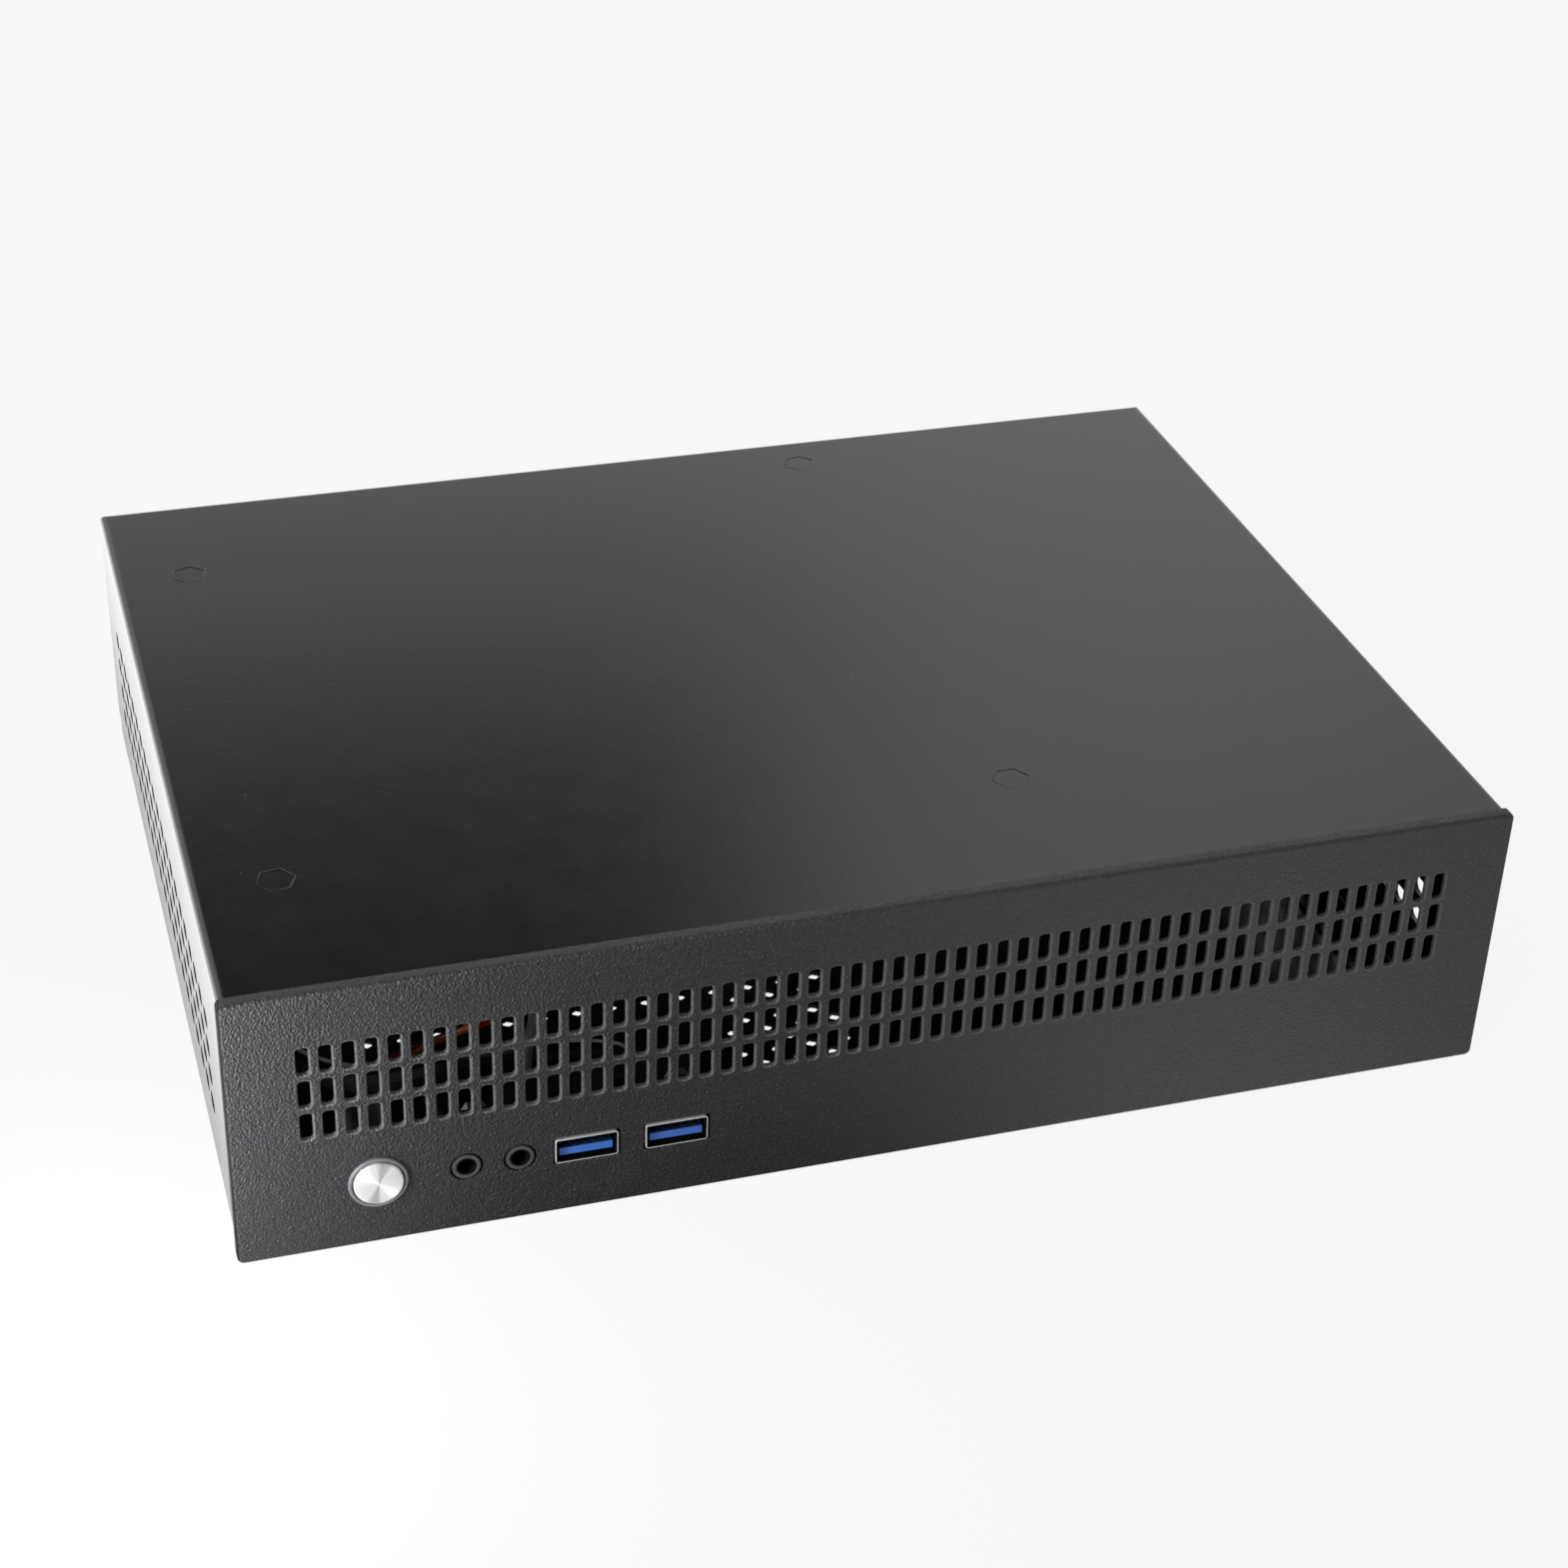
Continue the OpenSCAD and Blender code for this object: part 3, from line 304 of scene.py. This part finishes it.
def plated_steel(name, tone, low, high):
    """Zinc or nickel plate with a faint grain along Z."""
    s = Shader(name).set(Metallic=1.0)
    s.blend(s.noise(6 * MM, 4.0), tuple(c * 0.85 for c in tone), tone)
    s.rough(s.noise(2 * MM, 4.0), low, high)
    return s.bumps((s.noise(0.5 * MM, 4.0, 0.6, (1.0, 1.0, 6.0)), 0.02 * MM, 0.15)).material


def spun_aluminium(name):
    """Turned cap: fine rings as bumps, with the highlight fanned out by the turning marks; its colour has
    faint spokes of painted glint and two darker sectors of painted shade.
    """
    s = Shader(name).set(Metallic=0.55, Anisotropic=1.0, Anisotropic_Rotation=0.25, Roughness=0.42)
    maths, ranged = node_maths(s.tree)
    x, z = middle("button_cap")
    parts = s.add("ShaderNodeSeparateXYZ")
    s.link(s.place, parts.inputs[0])
    turn = maths("ARCTAN2", maths("SUBTRACT", parts.outputs["Z"], z),
                 maths("SUBTRACT", parts.outputs["X"], x))
    # Painted shade: two opposite sectors of the cap are coloured darker
    painted_dark_sectors = maths("ABSOLUTE", maths("COSINE", maths("SUBTRACT", turn, math.radians(74.0))))
    # Painted glints: faint spokes of lighter and darker colour around the cap
    painted_glint_spokes = s.add("ShaderNodeTexNoise", noise_dimensions="1D")
    painted_glint_spokes.inputs["Scale"].default_value = 9.0
    painted_glint_spokes.inputs["Detail"].default_value = 3.0
    s.link(turn, painted_glint_spokes.inputs["W"])
    share = maths("MULTIPLY", ranged(painted_dark_sectors, 0.93, 1.0, 1.0, 0.62), s.spread(painted_glint_spokes.outputs["Fac"], 0.86, 1.0))
    s.link(s.ramp(share, grey(0.0), (0.96, 0.965, 0.97), 0.0, 1.0), s.surface.inputs["Base Color"])
    tangent = s.add("ShaderNodeTangent", direction_type="RADIAL", axis="Y")
    s.link(tangent.outputs["Tangent"], s.surface.inputs["Tangent"])
    away = s.add("ShaderNodeVectorMath", operation="DISTANCE")
    away.inputs[1].default_value = ((cap_low.x + cap_high.x) / 2, cap_low.y, (cap_low.z + cap_high.z) / 2)
    s.link(s.place, away.inputs[0])
    rings = s.add("ShaderNodeMath", operation="SINE")
    scaled = s.add("ShaderNodeMath", operation="MULTIPLY")
    scaled.inputs[1].default_value = 2 * math.pi / TURNING_MARK
    s.link(away.outputs["Value"], scaled.inputs[0])
    s.link(scaled.outputs["Value"], rings.inputs[0])
    return s.bumps((rings.outputs["Value"], 0.004 * MM, 0.25)).material


def plastic(name, tone, low, high, grain=0.3, shine=0.5):
    """Moulded plastic with a fine eroded grain."""
    s = Shader(name).set(IOR=1.49, Specular_IOR_Level=shine)
    s.blend(s.noise(5 * MM, 3.0), tuple(c * 0.85 for c in tone), tuple(min(1.0, c * 1.1) for c in tone))
    s.rough(s.noise(1.5 * MM, 3.0), low, high)
    return s.bumps((s.noise(0.3 * MM, 3.0), 0.02 * MM, grain)).material


def tongue_plastic(name):
    """Blue moulding with painted shade: all faces but its end are coloured darker, as if in the socket's
    shade.
    """
    s = Shader(name).set(IOR=1.49)
    parts = s.add("ShaderNodeSeparateXYZ")
    s.link(s.add("ShaderNodeTexCoord").outputs["Normal"], parts.inputs[0])
    end = s.spread(parts.outputs["Y"], 1.0, 0.0, -0.8, -0.4)
    # Painted shade: the darker blue of the faces that do not face forward
    painted_shade_blue = s.ramp(s.noise(5 * MM, 3.0), (0.004, 0.016, 0.075), (0.006, 0.022, 0.1))
    s.link(s.mix(end, painted_shade_blue, (0.045, 0.15, 0.5, 1.0)), s.surface.inputs["Base Color"])
    s.rough(s.noise(1.5 * MM, 3.0), 0.35, 0.5)
    return s.bumps((s.noise(0.3 * MM, 3.0), 0.02 * MM, 0.3)).material


def bright_steel(name):
    """Nickel plate of the data sockets: partly the plate's own light grey, partly a painted reflection, as its
    metal is turned down so the colour shows bright.
    """
    s = Shader(name).set(Metallic=0.3)
    s.blend(s.noise(6 * MM, 4.0), (0.66, 0.665, 0.67), (0.76, 0.765, 0.77))
    s.rough(s.noise(2 * MM, 4.0), 0.22, 0.32)
    return s.bumps((s.noise(0.5 * MM, 4.0, 0.6, (1.0, 1.0, 6.0)), 0.02 * MM, 0.15)).material


def light_ring(name):
    """Milky plastic of the unlit light ring."""
    s = Shader(name).set(IOR=1.49)
    s.blend(s.noise(2 * MM, 3.0), (0.125, 0.128, 0.135), (0.155, 0.159, 0.168))
    s.rough(s.noise(1 * MM, 3.0), 0.28, 0.4)
    return s.bumps((s.noise(0.3 * MM, 3.0), 0.02 * MM, 0.2)).material


def board_mask(name):
    """Solder mask with faint tracks under it."""
    s = Shader(name).set(IOR=1.5)
    tracks = s.add("ShaderNodeTexWave", wave_type="BANDS", bands_direction="X")
    tracks.inputs["Scale"].default_value = 1.0 / (6 * MM)
    tracks.inputs["Distortion"].default_value = 3.0
    s.link(s.place, tracks.inputs["Vector"])
    s.blend(tracks.outputs["Fac"], (0.012, 0.09, 0.035), (0.02, 0.14, 0.055))
    s.rough(s.noise(3 * MM, 3.0), 0.25, 0.35)
    return s.bumps((tracks.outputs["Fac"], 0.03 * MM, 0.3)).material


MATERIALS = {
    "case_black": smooth_paint("case_black", 0.011),
    "panel_black": coarse_paint("panel_black", 0.025),
    "zinc_steel": plated_steel("zinc_steel", (0.55, 0.56, 0.57), 0.28, 0.42),
    "black_screw": smooth_paint("black_screw", 0.02, (0.3, 0.4)),
    "spun_aluminium": spun_aluminium("spun_aluminium"),
    "light_ring": light_ring("light_ring"),
    "black_plastic": plastic("black_plastic", (0.018, 0.018, 0.019), 0.45, 0.6),
    "contact_gold": plated_steel("contact_gold", (0.8, 0.62, 0.3), 0.2, 0.3),
    "socket_steel": bright_steel("socket_steel"),
    "blue_plastic": tongue_plastic("blue_plastic"),
    # Darker than the other black plastic: partly its own black, partly painted shade in the audio sockets'
    # bores and on the button's body
    "jack_plastic": plastic("jack_plastic", (0.006, 0.006, 0.0065), 0.4, 0.5),
    "jack_collar": plastic("jack_collar", (0.065, 0.066, 0.07), 0.3, 0.4),
    # A near-black copy of the plated steel, as painted shade behind the slots
    "painted_shade_steel": plated_steel("painted_shade_steel", (0.02, 0.02, 0.021), 0.5, 0.6),
    # Near black and barely glossy; the dark tubes and the button's gap ring use it as painted shade
    "socket_dark": plastic("socket_dark", (0.002, 0.002, 0.002), 0.6, 0.75, 0.3, 0.08),
    "board_green": board_mask("board_green"),
    "cable_black": plastic("cable_black", (0.014, 0.014, 0.014), 0.38, 0.5),
    "plug_blue": plastic("plug_blue", (0.02, 0.06, 0.25), 0.4, 0.55),
    "cable_grey": plastic("cable_grey", (0.2, 0.2, 0.21), 0.4, 0.5),
    "lead_red": plastic("lead_red", (0.34, 0.014, 0.01), 0.35, 0.45),
    "lead_orange": plastic("lead_orange", (0.45, 0.1, 0.012), 0.35, 0.45),
}


# Mesh building

def rounded_loop(x, z, w, h, r, steps=6):
    """Points around a rectangle with round corners, in X and Z."""
    r = min(r, w / 2, h / 2)
    points = []
    for quarter, (sx, sz) in enumerate(((1, 1), (-1, 1), (-1, -1), (1, -1))):
        for k in range(steps + 1):
            a = math.pi / 2 * (quarter + k / steps)
            points.append((x + sx * (w / 2 - r) + r * math.cos(a), z + sz * (h / 2 - r) + r * math.sin(a)))
    return points


class Outline:
    """A rounded rectangle or a circle that can be drawn a little larger or smaller."""

    def __init__(self, x, z, w, h, r, roll, steps=6):
        self.x, self.z, self.w, self.h, self.r, self.roll, self.steps = x, z, w, h, r, roll, steps

    def loop(self, grow):
        return rounded_loop(self.x, self.z, self.w + 2 * grow, self.h + 2 * grow,
                            max(self.r + grow, 0.01 * MM), self.steps)


def add_loop(bm, points, y):
    return [bm.verts.new((px, y, pz)) for px, pz in points]


def bridge(bm, a, b):
    n = len(a)
    for k in range(n):
        bm.faces.new((a[k], a[(k + 1) % n], b[(k + 1) % n], b[k]))


def inside(point, loop):
    """Whether a point lies in a closed loop, by counting the sides that a ray from it crosses."""
    x, z = point
    odd = False
    for (ax, az), (bx, bz) in zip(loop, loop[1:] + loop[:1]):
        if (az > z) != (bz > z) and x < ax + (z - az) * (bx - ax) / (bz - az):
            odd = not odd
    return odd


def fill_plane(bm, outer, holes):
    """Triangles between an outer loop of vertices and the hole loops inside it, all at one depth."""
    loops = [outer] + holes
    flat = [[(v.co.x / MM, v.co.z / MM) for v in loop] for loop in loops]
    verts = [v for loop in loops for v in loop]
    edges, start = [], 0
    for loop in loops:
        n = len(loop)
        edges += [(start + k, start + (k + 1) % n) for k in range(n)]
        start += n
    points = [Vector(p) for loop in flat for p in loop]
    _, _, faces, origins, _, _ = delaunay_2d_cdt(points, edges, [], 0, 1e-5)
    boxes = [(min(p[0] for p in loop), max(p[0] for p in loop), min(p[1] for p in loop),
              max(p[1] for p in loop), loop) for loop in flat[1:]]
    for face in faces:
        corners = [verts[origins[k][0]] for k in face]
        x = sum(v.co.x for v in corners) / len(corners) / MM
        z = sum(v.co.z for v in corners) / len(corners) / MM
        if not inside((x, z), flat[0]):
            continue
        if any(b[0] < x < b[1] and b[2] < z < b[3] and inside((x, z), b[4]) for b in boxes):
            continue
        bm.faces.new(corners)


def roll_steps(roll, steps=3):
    """Pairs of growth and depth along a quarter-round edge, from the face down into the hole."""
    return [(roll * (1 - math.sin(math.pi / 2 * k / steps)), roll * (1 - math.cos(math.pi / 2 * k / steps)))
            for k in range(steps + 1)]


def finished(bm, name, body, slot, replaced=(), smooth_angle=40.0, material=None):
    bmesh.ops.remove_doubles(bm, verts=bm.verts, dist=1e-7)
    bmesh.ops.recalc_face_normals(bm, faces=bm.faces)
    mesh = bpy.data.meshes.new(name)
    bm.to_mesh(mesh)
    bm.free()
    mesh.shade_smooth()
    mesh.set_sharp_from_angle(angle=math.radians(smooth_angle))
    mesh.materials.append(MATERIALS[material or slot])
    piece = bpy.data.objects.new(name, mesh)
    bpy.context.scene.collection.objects.link(piece)
    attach(piece, body)
    if replaced:
        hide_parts(*replaced)
    return piece


def lathe(name, body, slot, centre, profile, replaced=(), steps=64, smooth_angle=40.0, material=None):
    """A ring or disc turned about the Y axis from pairs of radius and Y."""
    bm = bmesh.new()
    loops = []
    for r, y in profile:
        if r < 1e-7:
            loops.append([bm.verts.new((centre[0], y, centre[1]))])
        else:
            loops.append([bm.verts.new((centre[0] + r * math.cos(2 * math.pi * k / steps), y,
                                        centre[1] + r * math.sin(2 * math.pi * k / steps)))
                          for k in range(steps)])
    for a, b in zip(loops, loops[1:]):
        for k in range(steps):
            m = (k + 1) % steps
            if len(a) == 1:
                bm.faces.new((a[0], b[k], b[m]))
            elif len(b) == 1:
                bm.faces.new((a[k], b[0], a[m]))
            else:
                bm.faces.new((a[k], b[k], b[m], a[m]))
    if len(loops[0]) > 1 and len(loops[-1]) > 1:
        bridge(bm, loops[-1], loops[0])
    return finished(bm, name, body, slot, replaced, smooth_angle, material)


def node_outline(node, gap, r, roll):
    low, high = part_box(node)
    x, z = middle(node)
    return Outline(x, z, high.x - low.x + 2 * gap, high.z - low.z + 2 * gap, r, roll)


def front_panel():
    holes = []
    centre_x = (panel_low.x + panel_high.x) / 2
    for row in range(SLOT_ROWS):
        z = panel_low.z + ROW_LOW_Z + row * ROW_PITCH
        for column in range(SLOT_COLUMNS):
            x = centre_x + (column - (SLOT_COLUMNS - 1) / 2) * SLOT_PITCH
            holes.append(Outline(x, z, SLOT_W, SLOT_H, SLOT_R, SLOT_ROLL))
    for node in ("usb_shell_left", "usb_shell_right"):
        holes.append(node_outline(node, CUTOUT_GAP, 0.5 * MM, HOLE_ROLL))
    for node, d in JACKS:
        x, z = jack_middle(node)
        holes.append(Outline(x, z, d + 2 * CUTOUT_GAP, d + 2 * CUTOUT_GAP, d, HOLE_ROLL, 10))
    bx, bz = middle("button_body")
    low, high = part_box("button_body")
    barrel_d = high.x - low.x + 2 * BARREL_GAP
    holes.append(Outline(bx, bz, barrel_d, barrel_d, barrel_d, BARREL_ROLL, 12))

    bm = bmesh.new()
    painted_edge_highlight = bm.verts.layers.float.new("edge")
    front, back = [], []
    y0, t = FACE_Y, PANEL_T
    for hole in holes:
        rings = [add_loop(bm, hole.loop(hole.roll + 0.06 * MM), y0)]
        for grow, depth in roll_steps(hole.roll):
            rings.append(add_loop(bm, hole.loop(grow), y0 + depth))
        rings.append(add_loop(bm, hole.loop(0.0), y0 + t))
        # Marks the slots' rolled edges for the painted highlight in the panel's colour
        for k, ring in enumerate(rings[1:]):
            for v in ring:
                v[painted_edge_highlight] = (0.5 if k == 0 else 1.0) if hole.w == SLOT_W else 0.0
        for a, b in zip(rings, rings[1:]):
            bridge(bm, a, b)
        front.append(rings[0])
        back.append(rings[-1])
    outline = Outline(centre_x, (panel_low.z + panel_high.z) / 2, PANEL_W, PANEL_H, CORNER_R, 0.0, 6)
    rings = [add_loop(bm, outline.loop(-FOLD_R - 0.1 * MM), y0)]
    for k in range(5):
        a = math.pi / 2 * k / 4
        rings.append(add_loop(bm, outline.loop(-FOLD_R * (1 - math.sin(a))), y0 + FOLD_R * (1 - math.cos(a))))
    edge = 0.12 * MM
    rings.append(add_loop(bm, outline.loop(0.0), y0 + RIM_D - edge))
    rings.append(add_loop(bm, outline.loop(-edge), y0 + RIM_D))
    rings.append(add_loop(bm, outline.loop(edge - t), y0 + RIM_D))
    rings.append(add_loop(bm, outline.loop(-t), y0 + RIM_D - edge))
    rings.append(add_loop(bm, outline.loop(-t), y0 + t + 0.4 * MM))
    rings.append(add_loop(bm, outline.loop(-t - 0.4 * MM), y0 + t))
    for a, b in zip(rings, rings[1:]):
        bridge(bm, a, b)
    fill_plane(bm, rings[0], front)
    fill_plane(bm, rings[-1], back)
    finished(bm, "front_panel_pressed", "case", "panel_black", ("front_panel",), 35.0)


def jack_middle(node):
    """The middle of an audio socket's nose: its body is square to it, but reaches up to the board."""
    low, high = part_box(node)
    return ((low.x + high.x) / 2, middle("usb_shell_left")[1])


def button():
    """The turned cap, which moves, and the ring of light around it."""
    x, z = middle("button_cap")
    r = (cap_high.x - cap_low.x) / 2
    y0, y1 = cap_low.y, cap_low.y + CAP_T
    lathe("button_cap_turned", "button", "spun_aluminium", (x, z), (
        (0.0, y0 + 0.05 * MM), (r * 0.5, y0 + 0.035 * MM), (r - 0.4 * MM, y0), (r - 0.24 * MM, y0 + 0.03 * MM),
        (r - 0.08 * MM, y0 + 0.18 * MM), (r, y0 + 0.4 * MM), (r, y1 - 0.1 * MM), (r - 0.1 * MM, y1),
        (STEM_R, y1), (STEM_R, cap_high.y), (0.0, cap_high.y)), ("button_cap",), 96)
    outer = (ring_high.x - ring_low.x) / 2
    inner = RING_INNER_R
    a, b = ring_low.y, ring_high.y
    lathe("button_light_ring", "case", "light_ring", (x, z), (
        (outer, b), (outer, a + 0.3 * MM), (outer - 0.09 * MM, a + 0.1 * MM), (outer - 0.28 * MM, a),
        (inner + 0.15 * MM, a), (inner + 0.03 * MM, a + 0.06 * MM), (inner, a + 0.15 * MM), (inner, b)),
        ("button_ring",), 96)


def return_spring():
    """A copy of the spring, fixed to the case in place of the CAD node."""
    source = frame["nodes"]["button_spring"]
    piece = bpy.data.objects.new("button_spring_coil", source.data.copy())
    piece.matrix_world = source.matrix_world.copy()
    bpy.context.scene.collection.objects.link(piece)
    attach(piece, "case")
    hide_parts("button_spring")
    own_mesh(piece)


def jack_noses():
    """The rounded collar of each audio socket, and a near-black tube inside it as painted shade."""
    for node, _ in JACKS:
        y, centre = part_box(node)[0].y, jack_middle(node)
        collar = ((2.97, 0.6), (2.97, 0.15), (2.9, 0.0), (2.74, -0.05), (2.38, -0.05), (2.22, -0.035),
                  (2.12, 0.0), (2.12, 0.3))
        lathe(node + "_collar", "case", "jack_plastic", centre,
              [(r * MM, y + depth * MM) for r, depth in collar], steps=48, material="jack_collar")
        tube = ((2.13, 0.05), (2.13, -0.012), (1.75, -0.006), (1.68, 0.05), (1.68, 10.0), (1.78, 10.0),
                (1.78, 0.05))
        lathe(node + "_shade_lining", "case", "jack_plastic", centre,
              [(r * MM, y + depth * MM) for r, depth in tube], steps=32, material="socket_dark")


def socket_linings():
    """Near-black tubes just inside each data socket's shell, and a near-black ring between cap and light, all
    as painted shade.
    """
    inset, thick = 0.22 * MM, 0.2 * MM
    for node in ("usb_shell_left", "usb_shell_right"):
        low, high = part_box(node)
        x, z = middle(node)
        inner = Outline(x, z, high.x - low.x - 2 * inset, high.z - low.z - 2 * inset, 0.3 * MM, 0.0)
        bm = bmesh.new()
        a, b = low.y - 0.006 * MM, low.y + 11.5 * MM
        rings = [add_loop(bm, inner.loop(grow), y)
                 for grow, y in ((0.0, a), (0.0, b), (-thick, b), (-thick, a))]
        for first, second in zip(rings, rings[1:] + rings[:1]):
            bridge(bm, first, second)
        finished(bm, node + "_shade_lining", "case", "socket_steel", material="socket_dark")
    y = ring_low.y
    lathe("button_gap_shade_ring", "case", "black_plastic", middle("button_cap"),
          [(r * MM, y + depth * MM) for r, depth in ((5.14, 0.2), (5.34, 0.14), (5.34, 0.6), (5.14, 0.6))],
          steps=96, material="socket_dark")


def head_seams():
    """The thin rounded line of paint in the gap around each standoff's hexagonal head."""
    profile = ((-0.05, -0.09), (-0.07, -0.02), (-0.16, 0.0), (-0.05, 0.045), (0.06, 0.045), (0.2, 0.0),
               (0.07, -0.02), (0.05, -0.09))
    for number, (left, depth, turned) in enumerate(HEAD_PLACES, 1):
        cx, cy = panel_low.x + left * MM, FACE_Y + depth * MM
        bm = bmesh.new()
        loops = []
        for out, up in profile:
            r = (HEAD_AF / 2 + out * MM) / math.cos(math.pi / 6)
            loops.append([bm.verts.new((cx + r * math.cos(math.radians(turned + 60 * k)),
                                        cy + r * math.sin(math.radians(turned + 60 * k)),
                                        shell_top + up * MM)) for k in range(6)])
        for a, b in zip(loops, loops[1:] + loops[:1]):
            bridge(bm, a, b)
        finished(bm, "head_seam_%d" % number, "case", "case_black", smooth_angle=50.0)


# Nodes behind the low row of slots, given darker materials as painted shade
PAINTED_SHADE_NODES = {"io_bracket": "painted_shade_steel", "io_board_screws": "painted_shade_steel",
            "button_body": "jack_plastic"}


def dress_nodes():
    """Gives every CAD node its material."""
    slots = {part["node"]: part["material_slot"] for part in frame["record"]["subparts"]}
    for node, piece in frame["nodes"].items():
        piece.data.materials.clear()
        piece.data.materials.append(MATERIALS[PAINTED_SHADE_NODES.get(node, slots[node])])


def stage():
    """A white floor that keeps the shadow; in reflections its glow is painted darker near the middle and at
    the right and brighter at the left, a painted reflection.
    """
    bm = bmesh.new()
    bmesh.ops.create_grid(bm, x_segments=1, y_segments=1, size=6.0)
    mesh = bpy.data.meshes.new("floor")
    bm.to_mesh(mesh)
    bm.free()
    material = bpy.data.materials.new("floor")
    material.use_nodes = True
    tree = material.node_tree
    tree.nodes.clear()
    add, link = tree.nodes.new, tree.links.new
    maths, ranged = node_maths(tree)
    output = add("ShaderNodeOutputMaterial")
    plain = add("ShaderNodeBsdfDiffuse")
    plain.inputs["Color"].default_value = (0.86, 0.86, 0.86, 1.0)
    white = add("ShaderNodeEmission")
    mirrored = add("ShaderNodeEmission")
    path = add("ShaderNodeLightPath")
    place = add("ShaderNodeTexCoord")
    parts = add("ShaderNodeSeparateXYZ")
    link(place.outputs["Object"], parts.inputs[0])
    # Painted reflection: the glow that reflections see is darker near the middle and at the right, and doubled
    # at the left
    near_middle = maths("ABSOLUTE", maths("ADD", parts.outputs["X"], 0.05))
    painted_reflection_dip = ranged(near_middle, 0.02, 0.12, 0.0, 1.15)
    right = ranged(parts.outputs["X"], 0.09, 0.16, 1.0, 0.7)
    left = ranged(parts.outputs["X"], -0.15, -0.137, 2.0, 1.0)
    link(maths("MULTIPLY", maths("MULTIPLY", painted_reflection_dip, right), left), mirrored.inputs["Strength"])
    seen = add("ShaderNodeMixShader")
    seen.inputs["Fac"].default_value = FLOOR_GLOW
    mirror = add("ShaderNodeMixShader")
    mirror.inputs["Fac"].default_value = FLOOR_GLOW
    glossy = maths("MAXIMUM", path.outputs["Is Glossy Ray"], path.outputs["Is Transmission Ray"])
    for shader, glow in ((seen, white), (mirror, mirrored)):
        link(plain.outputs[0], shader.inputs[1])
        link(glow.outputs[0], shader.inputs[2])
    first = add("ShaderNodeMixShader")
    link(glossy, first.inputs["Fac"])
    link(plain.outputs[0], first.inputs[1])
    link(mirror.outputs[0], first.inputs[2])
    second = add("ShaderNodeMixShader")
    link(path.outputs["Is Camera Ray"], second.inputs["Fac"])
    link(first.outputs[0], second.inputs[1])
    link(seen.outputs[0], second.inputs[2])
    link(second.outputs[0], output.inputs["Surface"])
    mesh.materials.append(material)
    floor = bpy.data.objects.new("floor", mesh)
    floor.location.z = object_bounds()[0].z - 0.0001
    bpy.context.scene.collection.objects.link(floor)
    floor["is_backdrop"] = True


def world():
    """White for the camera; for reflections a bright room with a dark flag behind and above the case."""
    sky = bpy.data.worlds.new("studio")
    bpy.context.scene.world = sky
    sky.use_nodes = True
    tree = sky.node_tree
    tree.nodes.clear()
    add, link = tree.nodes.new, tree.links.new
    maths, ranged = node_maths(tree)
    turn = math.radians
    place = add("ShaderNodeTexCoord")
    parts = add("ShaderNodeSeparateXYZ")
    link(place.outputs["Generated"], parts.inputs[0])
    rise = maths("ARCSINE", parts.outputs["Z"])
    bearing = maths("ARCTAN2", parts.outputs["X"], parts.outputs["Y"])
    flag = maths("MULTIPLY", ranged(bearing, turn(-30.0), turn(-16.0), 0.0, 1.0),
                 ranged(bearing, turn(13.0), turn(23.0), 1.0, 0.0))
    shade = maths("MULTIPLY", flag, ranged(rise, turn(23.5), turn(36.0), 0.0, 0.95))
    bright = maths("MULTIPLY", ranged(bearing, turn(26.0), turn(40.0), 1.3, 0.95),
                   ranged(rise, turn(45.0), turn(80.0), 1.0, 0.5))
    behind = maths("ABSOLUTE", bearing)
    camera_side = maths("MULTIPLY", ranged(behind, turn(100.0), turn(140.0), 0.0, 1.0),
                        ranged(rise, turn(4.0), turn(16.0), 0.0, 0.75))
    lit = maths("MULTIPLY", maths("SUBTRACT", 1.0, shade), maths("SUBTRACT", 1.0, camera_side))
    path = add("ShaderNodeLightPath")
    glossy = maths("MAXIMUM", path.outputs["Is Glossy Ray"], path.outputs["Is Transmission Ray"])
    output = add("ShaderNodeOutputWorld")
    even = add("ShaderNodeBackground")
    even.inputs["Strength"].default_value = 0.5
    mirror = add("ShaderNodeBackground")
    link(maths("MULTIPLY", bright, lit), mirror.inputs["Strength"])
    white = add("ShaderNodeBackground")
    white.inputs["Color"].default_value = (1.0, 1.0, 1.0, 1.0)
    first = add("ShaderNodeMixShader")
    second = add("ShaderNodeMixShader")
    link(glossy, first.inputs["Fac"])
    link(even.outputs[0], first.inputs[1])
    link(mirror.outputs[0], first.inputs[2])
    link(path.outputs["Is Camera Ray"], second.inputs["Fac"])
    link(first.outputs[0], second.inputs[1])
    link(white.outputs[0], second.inputs[2])
    link(second.outputs[0], output.inputs["Surface"])


def softbox(name, place, size, power, aim):
    data = bpy.data.lights.new(name, "AREA")
    data.shape = "RECTANGLE"
    data.size = data.size_y = size
    data.energy = power
    lamp = bpy.data.objects.new(name, data)
    lamp.location = place
    lamp.rotation_euler = (Vector(aim) - Vector(place)).to_track_quat("-Z", "Y").to_euler()
    lamp.visible_camera = False
    bpy.context.scene.collection.objects.link(lamp)


camera()
dress_nodes()
front_panel()
button()
return_spring()
jack_noses()
socket_linings()
head_seams()
stage()
world()
for lamp in LAMPS:
    softbox(*lamp)
bpy.context.scene.view_settings.view_transform = "Standard"
